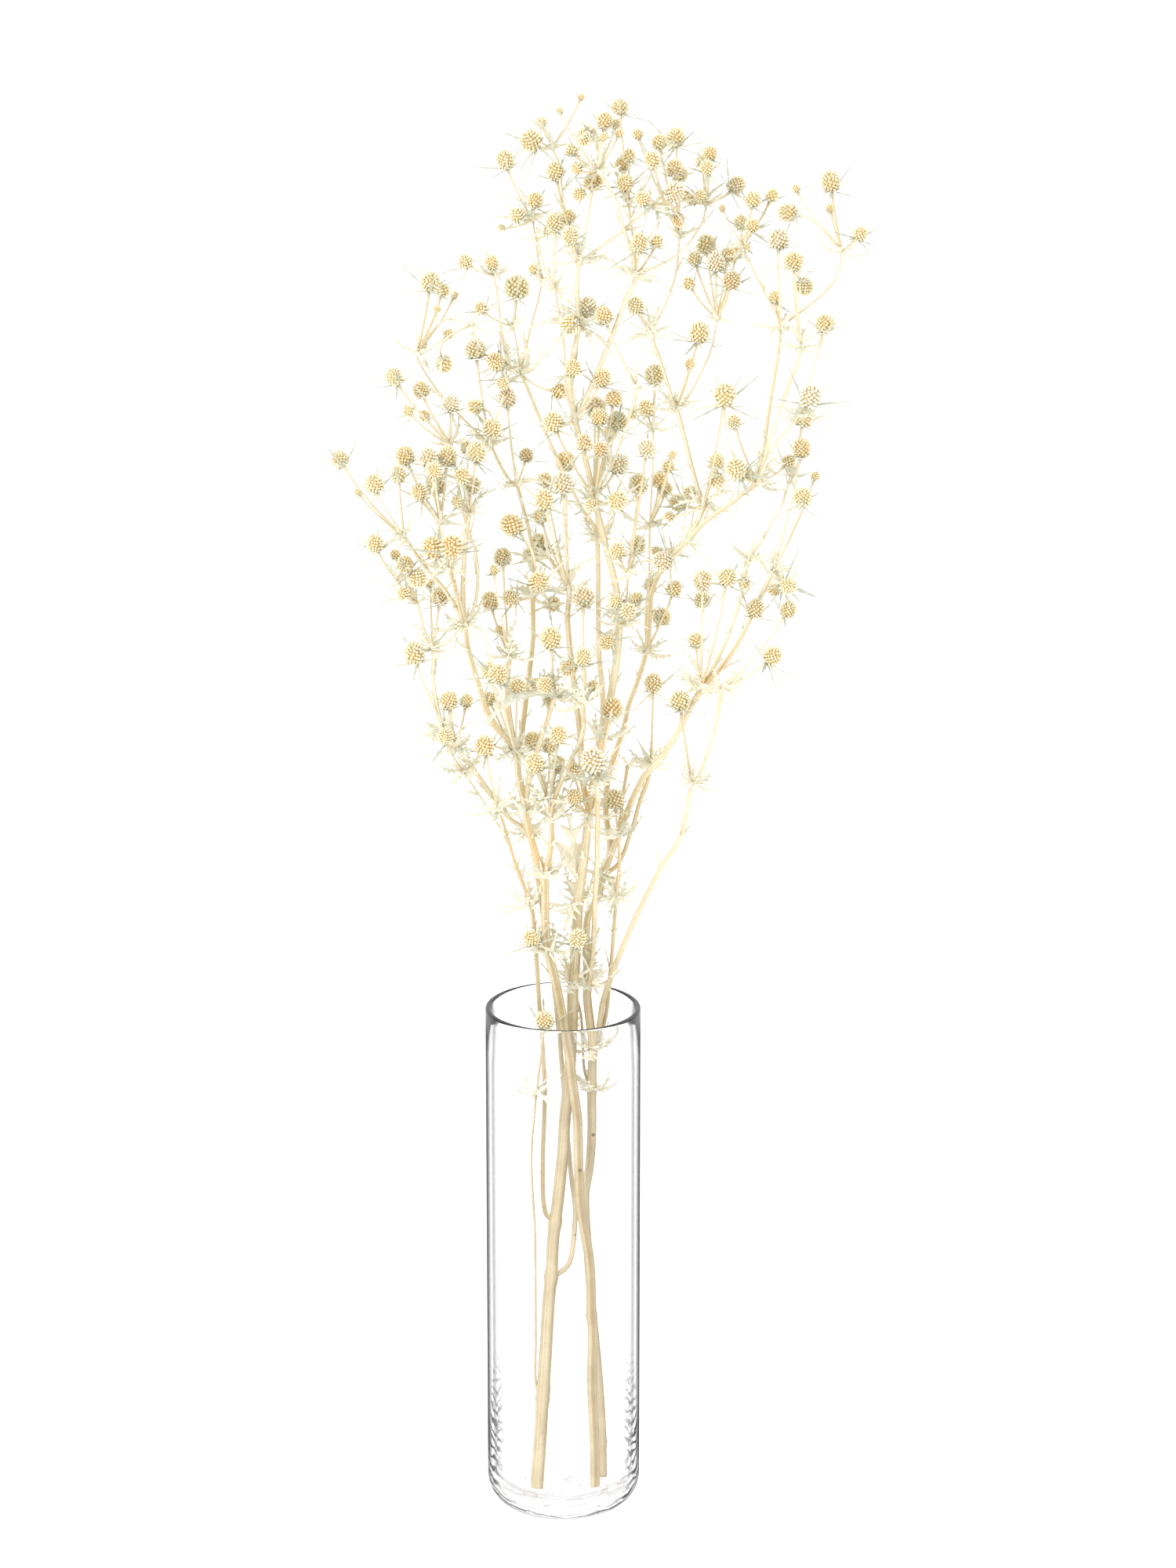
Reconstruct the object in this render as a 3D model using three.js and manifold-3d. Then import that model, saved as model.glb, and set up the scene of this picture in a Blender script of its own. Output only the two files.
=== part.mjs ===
// A bunch of dried thistle stems standing in a tall clear glass vase.
// Millimetres, +Z up, the origin at the centre of the vase's foot, the viewer in front at -Y.
import * as THREE from 'three';
import { LoftGeometry } from 'three/addons/geometries/LoftGeometry.js';
import { mergeVertices } from 'three/addons/utils/BufferGeometryUtils.js';
import Module from 'manifold-3d';

const wasm = await Module();
wasm.setup();

// Driving dimensions of the vase
const VASE_RADIUS = 40;
const VASE_HEIGHT = 276;
const WALL = 2.8;
const FLOOR_THICKNESS = 12;
const FOOT_CORNER = 17;
const INNER_CORNER = 12;
const RIM_EDGE = 0.8;
const VASE_SIDES = 32;

// Driving dimensions of the plants
const EYE = new THREE.Vector3(0, -2600, 1168);
const HEAD_HEIGHT = 1.14;
const HEAD_BASE = 0.52;
const BRACT_LENGTH = 1.35;
const BRACT_NOTCH = 0.28;
const BRACT_HALF = 0.12;
const BRACT_SPREAD = [0.7, 1.1];
const BRACT_LIFT = [-0.3, 0.6];
const COLLAR = 0.12;
const SPIKE = 0.16;
const BODY_REACH = 0.55;
const BODY_INSET = 0.4;
const BRACTS_FROM = 6.5;
const TWO_ROWS = 9;
const STALK_GIRTH = 0.55;
const STALK_NECK = 2.6;
const STALK_BEND = 0.4;
const LONG_STALK = 20;
const LEAF_THICKNESS = 1;
const LEAF_ARCH = 0.16;
const LEAF_REACH = 0.5;
const LEAF_ROOT = [0.01, 0.03];
const CAD_LEAF_WIDTH = 4;
const BASE_SWELL = 1.2;
const NECK = 1.6;
const ROOT_DEPTH = [0.1, 0.4];
const KNOB = 0.6;
const SEAT_GAP = 0.4;
const UP = new THREE.Vector3(0, 0, 1);

// The gap kept between two stems, and the steps in which a head moves nearer or farther to keep it
const CLEARANCE = 0.45;
const DEPTH_STEP = 3;
const DEPTH_TRIES = 31;
const UPWARD = 0.35;
const TIP_LENGTHS = [1, 0.8, 0.6, 0.4, 0.25];

// How fine the shapes are: the corners round a branch, each after its least half thickness
const BRANCH_SIDES = [[2, 6], [1.2, 4], [0, 3]];
const CORNER_STEPS = 2;
const MERGE = 1e-3;
const LEAST_BEND = 0.9;

// The width of a leaf along its blade, from the fork to the tip, with its cut edges
const LEAF_CUT = [0, 0.2, 1, 0.6, 0.9, 0];

// The rings of florets on a large and on a small head, in head widths: the height, the half width,
// and whether the even or the odd florets stand out
const LARGE_HEAD = [[0.42, 0.47, 0], [0.8, 0.37, 1]];
const SMALL_HEAD = [[0.55, 0.46, 1]];

// One shoot: its half thickness at the tip, its route from the fork below, the flower heads on its
// fork as [x, z, y, width], the leaves on its fork as [x, z, y, width] of their tips, then the
// shoots that grow on from there. Each place is given as the viewer in front sees it in the plane
// y = 0, with its real distance y behind that plane.
function shoot(girth, route, heads, leaves, ...shoots) {
  return { girth, route, heads, leaves, shoots };
}

// The thick stem at the left of the foot: the top and the middle of the bunch
function centreUpperCrown() {
  return shoot(1.5, [[11.5, 565, 3], [6.3, 585, 4]],
    [[5.5, 611, -6, 8], [19.7, 605.5, -2, 8.5]], [[12, 597, 0, 3.5]],
    shoot(1.3, [[5, 592, 2], [3.5, 606, 0], [5.5, 617, -2], [8, 632, -4]],
      [[12, 641.5, 4, 10], [4.5, 633.5, -15, 9.5, [-0.8, -0.5]]],
      [[-15, 631, -12, 4.5], [-8, 616, -14, 3.5], [15, 621, -12, 3.5], [24, 618, -9, 3],
        [-5, 642, -4, 2.5]],
      shoot(1.1, [[7.5, 645, -4], [8.5, 665, -2]],
        [[4.2, 677.5, -14, 8.5], [3, 687, 8, 7], [15.5, 704.5, -2, 9], [-3.3, 709.5, 10, 9]],
        [[1, 673, -4, 6], [25, 664, 0, 3], [22, 659, -6, 2.5], [12, 676, -4, 3]],
        shoot(0.45, [[1, 690, -2], [0.2, 700, -1], [-1.8, 715, 3], [-4.5, 722, 6]],
          [[-15.2, 725, 0, 10], [-10, 734, 12, 4.5], [9.5, 746.5, 8, 3]], [[-17.8, 736, 4, 2]]),
        shoot(0.75, [[12, 667, -2], [30, 680.5, -5], [45, 693, -8]],
          [[55.5, 699.5, -12, 9.5], [57.5, 686, -14, 6, [0, -1]], [39.5, 696, -16, 6.5]],
          [[37, 695, -12, 2], [47, 681, -10, 2.5]]))),
    shoot(0.65, [[2, 600, 8], [1, 620, 10], [-1.5, 638, 11], [-4, 651.5, 10]],
      [[-3.5, 684, 4, 9]], [[5, 642, -2, 4], [-7, 657, 8, 2.5]],
      shoot(0.4, [[-8, 660, 12], [-13, 676, 14]], [[-7, 680.5, 12, 4.5]], [[-15, 679, 14, 2]])),
    shoot(1.1, [[15, 603, 0], [23, 623, -3], [31, 644, -5], [36.5, 658, -6]],
      [[38.3, 674, -12, 8.5], [46.8, 674.5, -4, 5.5]],
      [[21, 661, -8, 2.5], [26, 657, -10, 3.5], [33, 653, -12, 4], [47, 660, -6, 2.5], [48, 655, -8, 2]],
      shoot(0.85, [[30, 683, -8], [26, 697, -10], [17.5, 710.5, -10]],
        [[11.2, 727, -15, 8, [-0.6, -0.8]], [21, 734.5, -10, 7.5], [26.5, 733, -2, 4.5],
          [20.5, 727, -20, 3.5],
          [28, 728.5, -10, 4], [5, 720, -2, 5.5], [7.5, 711, -17, 5], [8.5, 698.5, -15, 6],
            [-1, 740, -4, 3]],
        [[26, 710, -10, 2], [6, 736, -12, 1.5]]),
      shoot(0.6, [[36, 670, -2], [34, 685, 2], [33, 694, 4]],
        [[31.2, 704, -4, 8], [29.5, 713, 8, 6.5], [33, 717.5, 1, 5.5], [28.5, 741.5, 10, 8]],
        [[27, 697, 2, 2]]),
      shoot(0.55, [[50, 664, 0], [60, 671, 6], [69, 684, 10], [71.5, 694, 12]],
        [[69, 714.5, 14, 6], [73, 718.5, 8, 6.5], [71.5, 711.5, 4, 6.5], [85.5, 702.5, 20, 8.5],
          [68.5, 697.5, 4, 6], [64.5, 695.5, 12, 5], [61.5, 697.5, 18, 5]],
        [[79, 703, 12, 1.5]])));
}

function centreBackCrown() {
  return shoot(1.3, [[20.5, 433, 4], [20, 447, 8], [18.5, 463, 9], [18, 490, 10], [17.5, 524, 10]],
    [], [[11, 529, 4, 3.5]],
    shoot(0.95, [[15.5, 531, 11], [10, 539, 13], [3, 553, 16], [-8, 577.5, 20], [-20.5, 608, 20]],
      [[-1.5, 599.5, 10, 7.5]], [[-15, 620, 10, 3.5], [-26, 615, 14, 2.5]],
      shoot(0.6, [[-24, 611, 16], [-27, 614, 14]],
        [[-33, 614.5, 8, 8.5], [-29.5, 603.5, 6, 6]], [[-28, 625, 10, 3]],
        shoot(0.5, [[-30, 628, 16], [-31, 640, 20], [-33.5, 658, 25]],
          [[-34.7, 664, 24, 6.5], [-47.7, 665, 14, 6.5]], [[-41, 672, 26, 1.5]])),
      shoot(0.45, [[-22, 620, 24], [-24, 632, 28]],
        [[-22.5, 651.5, 30, 11.5], [-40.2, 641.5, 16, 5.5]], []),
      shoot(0.45, [[-18, 621, 18], [-15.5, 632, 20], [-10, 655, 22]],
        [[-14.5, 661, 20, 4]], [],
        shoot(0.4, [[-12, 668, 24], [-14.3, 686, 26]],
          [[-27.8, 715, 18, 9], [-13.3, 695, 22, 7.5], [-22.2, 688, 16, 7], [-30, 682, 24, 3]], []))));
}

function centreMiddleFork() {
  return shoot(1.6, [[27, 498, -2], [23, 515, 0], [16, 545, 2]],
    [[11, 573, -10, 7.5], [19, 569.5, -16, 6.5], [18.5, 585.5, -18, 8.5], [16.5, 591, -7, 10],
      [27.5, 584, 14, 9.5], [24, 578.5, 4, 7], [25.7, 595.5, 4, 7.5], [-4.5, 583.5, -6, 9.5],
      [28, 562, -14, 9.5], [27.5, 543.5, -14, 9.5], [14.5, 541, -8, 6.5]],
    [[24, 550, -4, 5]],
    shoot(0.55, [[24, 560, -4], [31, 578, -10], [37.5, 602, -14]],
      [[21, 637, -10, 8.5], [35.5, 588, -8, 4.5]], [[32, 603, -14, 1.5]]),
    centreUpperCrown());
}

function centreLeftShoot() {
  return shoot(1.2, [[2.3, 133, -2], [5.1, 145, 1], [6.2, 165, 4], [4.5, 180, 7], [3, 196, 8.5],
    [0, 235, 9], [-3.5, 276, 6], [-7, 305, 2], [-10, 325, 1], [-13, 345, 2], [-17.5, 369, 3]],
    [], [[-23, 364, 0, 3.5], [-12, 366, -2, 4]],
    shoot(1.2, [[-27, 377, -2], [-37, 391, -10], [-46.5, 405, -20], [-54, 415, -26]],
      [[-57.5, 439, -26, 8.5], [-48.8, 439, -18, 6]], [[-49, 421, -28, 2]],
      shoot(1.1, [[-57, 419, -27], [-60.5, 426, -28]],
        [[-74.8, 463.5, -36, 10.5]], [[-65.5, 416, -30, 3.5], [-52, 424, -26, 2]],
        shoot(0.95, [[-63.5, 436, -29], [-65.5, 452, -32], [-65.5, 467, -34]],
          [[-61.5, 493.5, -28, 8.5], [-66.5, 500.5, -20, 4.5]], [[-57.5, 470, -32, 3.5],
            [-62, 478, -30, 2]],
          shoot(0.7, [[-70, 477, -36], [-73.5, 491, -38]],
            [[-80, 495.5, -44, 6], [-79, 510.5, -38, 8], [-84, 515.5, -44, 4.5],
              [-73, 503.5, -32, 9, [0.6, -0.8]]],
            [[-79, 489, -38, 1.5]],
            shoot(0.45, [[-78, 496, -32], [-83, 502, -32]], [[-94, 521, -40, 8.5]], []))))));
}

function centreStem() {
  return shoot(3.4, [[-14.2, 12.4, -16], [-12.4, 32, -14], [-10.9, 58, -12]],
    [], [],
    shoot(0.6, [[-14.3, 64, -12], [-14.5, 93, -13], [-14.7, 150, -14], [-16.4, 193, -14],
      [-13.8, 229, -13]],
      [[-9.5, 268, -14, 9]], []),
    shoot(3.3, [[-9.5, 80, -10], [-7.8, 111, -7], [-6.4, 126, -6]],
      [], [],
      centreLeftShoot(),
      shoot(3.2, [[-5.3, 147, -4], [-4.2, 157, -3.5]],
        [], [],
        shoot(1.1, [[-9.4, 163, -5], [-10.6, 188, -7], [-9.4, 230, -6], [-10.5, 250, -5], [-12, 273, -4],
          [-13.5, 300, -3], [-14.7, 318, -3], [-16.5, 331, -3]],
          [], [[-22, 336, -4, 2.5]],
          shoot(0.7, [[-23.5, 350, -6], [-28, 367, -12], [-33, 383, -20]], [[-39.5, 415.5, -28, 9.5]], []),
          shoot(0.6, [[-21, 345, 2], [-30, 368, -4], [-43, 390, -14], [-51, 402.5, -22]],
            [[-59.5, 420.5, -38, 8]], [[-58, 406, -24, 1.5]])),
        shoot(2.9, [[-2.6, 171, -2], [-0.1, 197, 0], [0.9, 214, 1], [2.5, 231, 2], [4, 248, 2],
          [4.8, 268, 3], [5, 281, 3], [5.5, 291, 3]],
          [[7.5, 312, -12, 9]], [],
          shoot(2.6, [[7, 312, 3], [8, 333, 2]],
            [], [[-6, 366, 8, 12], [3, 378, -8, 12], [1, 317, -5, 6]],
            shoot(2.2, [[10.5, 352, 1], [13.5, 380, -1]],
              [[5.5, 402, -20, 8.5], [6, 388, -12, 8]], [[9, 371, -6, 3.5]],
              shoot(1.4, [[10, 398, 6], [9, 420, 10], [5.5, 450, 9], [2.5, 482, 7], [3, 499, 6]],
                [[0, 552, -4, 10.5], [1.5, 563, 10, 9.5], [-8.5, 553.5, 18, 7], [-9, 543.5, 2, 9.5],
                  [-11, 535, -6, 7]],
                [[17, 514, 2, 5], [2, 510, 2, 4]],
                shoot(0.8, [[-3, 508, 8], [-7.5, 515.5, 10]],
                  [[-11, 521, 16, 9], [-16, 515, 18, 7.5]], [])),
              shoot(2.1, [[19.5, 420, -2]], [], [],
                centreBackCrown(),
                shoot(1.9, [[25, 445, -4], [28, 468, -4], [28.5, 480, -4]],
                  [[27, 491, -14, 6.5], [33, 486, -16, 7.5], [37, 492, 4, 6.5], [22.5, 470, -16, 8]],
                  [[36, 476, -8, 3.5]],
                  shoot(0.6, [[32, 492, -9], [33, 506, -12]],
                    [[28, 517, -16, 8], [37.5, 520, 0, 8.5], [38, 551, 4, 9.5], [42, 570, -8, 9]],
                    [[27, 510, -12, 2.5], [38, 504, -10, 3]]),
                  centreMiddleFork()))))))));
}

// The stem that crosses in front of it: the left side of the bunch
function leftUpperCrown() {
  return shoot(0.95, [[-14.5, 505, 1], [-15, 518, 3], [-17.5, 531, 4], [-20, 541, 5], [-23, 551.5, 6]],
    [[-27.5, 595.5, 8, 9], [-18, 566.5, 14, 6.5]], [[-10, 552, 6, 3.5], [-30, 549, 4, 2]],
    shoot(0.8, [[-26, 553.5, 6], [-31, 561.5, 3], [-36, 572, 0]],
      [[-35, 580.5, -8, 9], [-43, 591.5, -10, 7, [-1, 0.2]], [-43, 620.5, 2, 9.5]], [],
      shoot(0.5, [[-41, 577, 0], [-50, 586, 0], [-60, 597, 0], [-70, 612, 0], [-72, 619, 0]],
        [[-65.2, 654.5, -6, 9.5], [-59, 650.5, 6, 5.5], [-53.3, 648, 10, 3.5], [-62, 641, -2, 3],
          [-56.6, 628.2, 2, 4.5]],
        [[-66, 608, 0, 2.5], [-72, 630, 0, 2]],
        shoot(0.4, [[-66, 628, -2], [-57, 636, -4], [-45, 633.5, -6]],
          [[-59, 613.5, -10, 7.5, [0.4, -1]]], []))));
}

function leftHighCluster() {
  return shoot(0.8, [[-59, 518, -36], [-62, 526, -34], [-61, 533, -34]],
    [[-78.5, 566, -30, 9], [-67, 565, -40, 9.5], [-57.5, 565.5, -30, 9.5], [-64, 558.5, -48, 8],
      [-63, 551.5, -36, 10], [-71.5, 547.5, -42, 8]], []);
}

function leftOuterFork() {
  return shoot(1.4, [[-32.5, 424, -20], [-38.5, 434.5, -22], [-43, 449.5, -24], [-47.5, 466, -26],
    [-49.5, 480, -28]],
    [], [[-57, 476, -32, 2], [-54, 467, -30, 2], [-38, 468, -26, 2]],
    shoot(1.2, [[-50, 500, -29], [-48.5, 522, -30], [-46.5, 538, -30]],
      [[-43, 568, -34, 9.5], [-50, 556, -42, 7.5], [-45.5, 551.5, -38, 8.5], [-47.5, 570.5, -24, 6.5],
        [-53, 543, -40, 4.5]],
      [[-33, 549, -28, 4]]),
    shoot(1, [[-59, 497, -36], [-69.5, 510, -42], [-79.5, 525, -46]],
      [[-94, 552, -56, 9], [-82, 556.5, -42, 7.5], [-102.5, 548, -60, 3], [-111, 564.5, -50, 8.5]],
      [[-89, 528, -48, 2], [-77, 520, -46, 2], [-76, 531, -44, 2]]),
    shoot(1.3, [[-52, 490, -33], [-54.5, 501, -38], [-57, 509, -42]],
      [[-65, 519, -50, 10.5], [-55.5, 519.5, -48, 11]], [],
      leftHighCluster()),
    shoot(0.8, [[-44.5, 488, -24], [-42.5, 504, -20], [-43.5, 516, -18], [-46.5, 526, -17],
      [-50, 540, -17],
      [-53, 558, -18], [-55.5, 573, -20]],
      [[-55.5, 593, -24, 8.5], [-70.2, 600, -14, 8], [-83.5, 606.5, -22, 8.5], [-76.7, 589.5, -30, 5],
        [-68.5, 586.7, -20, 5]], []));
}

function leftMiddleFork() {
  return shoot(1.7, [[-21, 392, -14], [-22.5, 400, -15], [-24, 413, -16]],
    [[-37, 455, -36, 8.5], [-32.5, 453, -42, 9], [-37, 440.5, -34, 6], [-23, 446.5, -28, 7.5]],
    [[-33, 408, -22, 5], [-16, 405, -20, 4], [-31, 425, -22, 4], [-17, 422, -12, 4]],
    leftOuterFork(),
    shoot(1.4, [[-27, 430, -16], [-28, 447, -12], [-27, 463, -10]],
      [[-30, 514, 6, 8.5], [-36.5, 491, -10, 8.5], [-31.5, 476, -4, 4.5], [-34.5, 507.5, -6, 4.5]],
      [[-38, 477, -12, 7], [-23, 481, -8, 6], [-21, 469, -10, 5], [-18, 458, -12, 4]]),
    shoot(1.3, [[-21, 420, -12], [-20, 428, -9], [-18, 445, -5], [-15, 472, -2], [-15, 495, 0]],
      [[-12, 501.5, -12, 9.5], [-26, 493, -12, 8], [-5, 490, 14, 7.5],
        [-25, 530.5, -20, 10.5, [-0.7, 0.7]]],
      [[-26, 498, -6, 4], [-6, 497, -6, 4]],
      leftUpperCrown()));
}

function leftNearShoot() {
  return shoot(1.2, [[-17, 398, -20], [-14, 408.5, -24], [-10.5, 421, -22], [-7, 431.5, -20],
    [-4, 442, -20]],
    [[-8, 447.5, -28, 8, [-1, 0.1]], [-7, 440, -14, 6, [-0.2, -1]], [-6, 471.5, -24, 10.5],
      [-13.5, 448, 2, 6]],
    [[-8, 454, -26, 3], [-37, 427, -34, 2.5], [2, 437, -22, 2]]);
}

function leftFrontFork() {
  return shoot(1.3, [[-6, 362, -14], [-5.5, 377, -18]],
    [], [],
    shoot(1.2, [[-4, 388, -20], [0, 398, -22], [4.5, 408.5, -25], [8.5, 416.5, -27], [10.5, 424, -28],
      [10.5, 438, -30]],
      [[10.5, 461.5, -34, 8.5], [3.5, 457, -40, 8, [-0.8, -0.5]], [10.5, 493, -26, 10.5],
        [15.5, 447, -24, 5]],
      [[-1, 446, -34, 2.5], [14, 446, -36, 2]]),
    shoot(0.8, [[-7.5, 388, -20]],
      [[-2, 421, -36, 8.5], [-6.5, 415.5, -32, 8], [-2.5, 405.5, -28, 7], [-14, 406, -30, 9.5],
        [-15, 417.5, -26, 8.5]],
      [[-15, 386, -22, 6]]));
}

function leftStem() {
  return shoot(2.6, [[16.6, 12.4, -14], [16.3, 32, -13], [14.8, 68, -12], [15.3, 93, -11],
    [14.7, 105, -10]],
    [], [],
    shoot(2.4, [[13.6, 135, -9], [9.2, 165, -8], [8, 188, -7], [7.4, 214, -6], [5.3, 231, -5.5],
      [3.3, 248, -5.5], [0.8, 261, -6], [-0.8, 273, -6.5], [-4, 290, -7.5], [-7.5, 306, -9]],
      [[-16, 312.5, -16, 8.5]], [[-8, 322, -12, 6], [-1, 306, -12, 3], [2, 302, -12, 2.5]],
      shoot(2, [[-9, 320, -9], [-9, 335, -9], [-9.5, 346, -9]],
        [], [[-2, 350, -12, 6], [-14, 349, -12, 4]],
        leftFrontFork(),
        shoot(1.8, [[-13, 355, -10], [-16, 366, -11], [-19, 381, -12]],
          [], [],
          leftNearShoot(),
          leftMiddleFork()))));
}

// The stem at the right of the foot: the right side of the bunch
function rightFrontShoot() {
  return shoot(1.2, [[15, 301, -2], [16, 318, -6], [16.5, 335, -9], [17.5, 355, -12], [17.5, 365, -14],
    [17.8, 385, -22], [17, 399, -28]],
    [[15.5, 407, -32, 12], [25, 434.5, -30, 10.5]], [[27, 396, -24, 6]]);
}

function rightLowFork() {
  return shoot(1.5, [[29, 370, 14], [32, 378.5, 12], [41, 398.5, 6], [50, 409, 2], [59, 424, -2],
    [70, 445, -6]],
    [[70.5, 491.5, 12, 8], [70.5, 502, 2, 9], [67.5, 470.5, 2, 7.5], [97, 487, -16, 9],
      [83, 503.5, -14, 9]],
    [[57, 452, -6, 11], [60, 441, -10, 7], [63, 463, 0, 5], [76, 457, -10, 4]],
    shoot(1.1, [[80, 456, -8], [90, 472, -10], [99, 492.5, -12], [106.5, 508, -14]],
      [[120.5, 545, -20, 9], [119.5, 569.5, -26, 9], [113.5, 499.5, -26, 8.5],
        [107, 497.5, -18, 6, [-1, 0]],
        [126.5, 555.5, -10, 4]],
      [[114, 509, -20, 3], [104.5, 520, -14, 2.5], [107.5, 517, -18, 2.5]]),
    shoot(0.9, [[77, 458, -4], [83.5, 473, -2], [89.5, 492, 0], [94.5, 514.5, 0]],
      [[91.5, 501, -6, 5.5, [0, -1]]], [[90.5, 503, -4, 4], [103, 505, -6, 3.5]],
      shoot(0.55, [[100, 522, 2], [106, 534, 4], [110.5, 542, 6], [113, 551, 7], [114, 557, 8]],
        [[120.5, 585.5, 8, 9]], [])));
}

function rightUpperFork() {
  return shoot(1.3, [[67, 531, 4], [71, 541.5, 6]],
    [[77, 563, 12, 8], [77.5, 554, 0, 7.5, [0, -1]], [58.5, 542, 18, 8.5], [54, 535.5, 8, 4.5],
      [64, 547, 14, 6], [81, 597, -12, 11]],
    [[64, 551, 10, 7], [85, 548, 2, 5], [56, 540, 6, 3], [78, 532, 2, 3]],
    shoot(1.1, [[69, 546, 7], [65, 560, 8], [60, 580, 8], [57, 591, 8]],
      [[68, 628.5, 0, 10], [63.5, 613, 6, 4.5]], [[49, 593, 4, 3], [60, 603, 10, 3], [66, 590, 2, 2]],
      shoot(0.9, [[55, 595, 7], [52.5, 603, 6], [48.5, 616, 5], [45, 627.5, 4]],
        [[36.7, 642.5, 0, 8]], [[48, 641, 6, 3.5], [32, 624, -2, 3.5]],
        shoot(0.6, [[49, 639, 5], [53, 648, 7], [56.5, 660, 9], [58, 678, 10]],
          [[55.5, 711, 4, 8.5], [58, 708.5, 14, 7], [56, 726, 8, 9.5], [48, 724, 16, 7],
            [44.5, 715.5, 2, 7.5],
            [37.5, 728, 6, 4.5]], [])),
      shoot(0.5, [[61, 594, 9], [68.5, 607.5, 10], [74.5, 622, 10], [77, 636, 10]],
        [[76, 664, 4, 9], [65.7, 666, 14, 6.5], [71.5, 673, 16, 9.5], [82, 668, 8, 7],
          [86.5, 669, 18, 5.5],
          [84, 655, -2, 8.5], [63, 653.5, 8, 5.5]], [])));
}

function rightFarFork() {
  return shoot(1.4, [[71, 532, 0], [83, 541, -3], [90, 546.5, -5], [97.5, 552.5, -6]],
    [[87, 559.5, -16, 10], [93, 556.5, -2, 5.5], [85.7, 583.5, -2, 6.5], [113, 563, 2, 6.5]],
    [[95, 571, -8, 5], [104, 551, -10, 2]],
    shoot(1.1, [[99, 557, -6], [101, 572, -7], [104, 596, -8], [107, 616.5, -9], [108.5, 632, -10]],
      [[107, 675.5, -14, 10], [105.7, 646.5, -2, 6]], [[102, 625, -14, 2.5]],
      shoot(0.5, [[107, 637, -8], [100.5, 649, -4], [93, 664, 0], [89.5, 673, 2]],
        [[91.5, 672, 0, 3], [88.5, 684, 8, 6.5], [94, 682.5, -4, 6.5], [94, 695.5, 0, 7.5],
          [103.5, 697.5, -4, 5.5], [79, 691.5, 4, 3]], []),
      shoot(0.5, [[118.5, 639.5, -13], [131, 650, -17], [136.5, 658, -20], [138.5, 669.5, -22]],
        [[132.5, 704, -26, 9.5], [132.3, 691, -20, 4], [147.5, 678.5, -28, 6.5],
          [112, 689, -18, 9, [-1, 0.2]], [115.5, 701, -14, 3.5]], [])),
    shoot(1, [[100.5, 560, -10], [103, 572, -13], [110.5, 596, -18], [118, 617, -21], [119, 622, -22]],
      [[114.5, 664.5, -26, 9], [120, 652.5, -32, 8, [0.5, -0.9]]],
      [[113, 632, -26, 4], [122, 632, -20, 3], [127, 628, -26, 3]]),
    shoot(0.8, [[99, 556, -12], [105.5, 571, -20], [115.5, 583, -28], [118, 588, -31]],
      [[123.5, 596.5, -36, 11], [130.5, 633, -16, 9]], []));
}

function rightMiddleFork() {
  return shoot(1.4, [[24, 361, 16], [22, 380, 17], [23, 398, 18], [25, 406, 18], [31, 425, 16],
    [33.5, 437, 15], [38, 450, 14], [42.5, 466, 12]],
    [[50, 483, 18, 8.5], [44, 500, 24, 6], [56, 497.5, 10, 7.5]], [],
    shoot(1.35, [[44, 484, 12], [45, 496, 10], [50, 508, 6], [56, 516, 4], [63, 522.5, 2]],
      [[50.5, 512, -8, 9.5], [54, 516, 12, 5.5], [47.5, 517.5, 16, 4.5]], [],
      rightUpperFork(),
      rightFarFork()),
    shoot(0.6, [[42, 484, 18], [43.5, 504, 20], [44, 531, 20]],
      [[49, 553.5, 24, 7.5], [52, 549, 28, 6], [53, 561, 16, 5.5], [55, 567, 22, 3.5]],
      [[54, 530, 18, 2.5]],
      shoot(0.5, [[45.5, 565, 20], [45.5, 580, 20]],
        [[46, 607.5, 24, 9.5], [42, 590.5, 14, 7.5]], [])));
}

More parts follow.
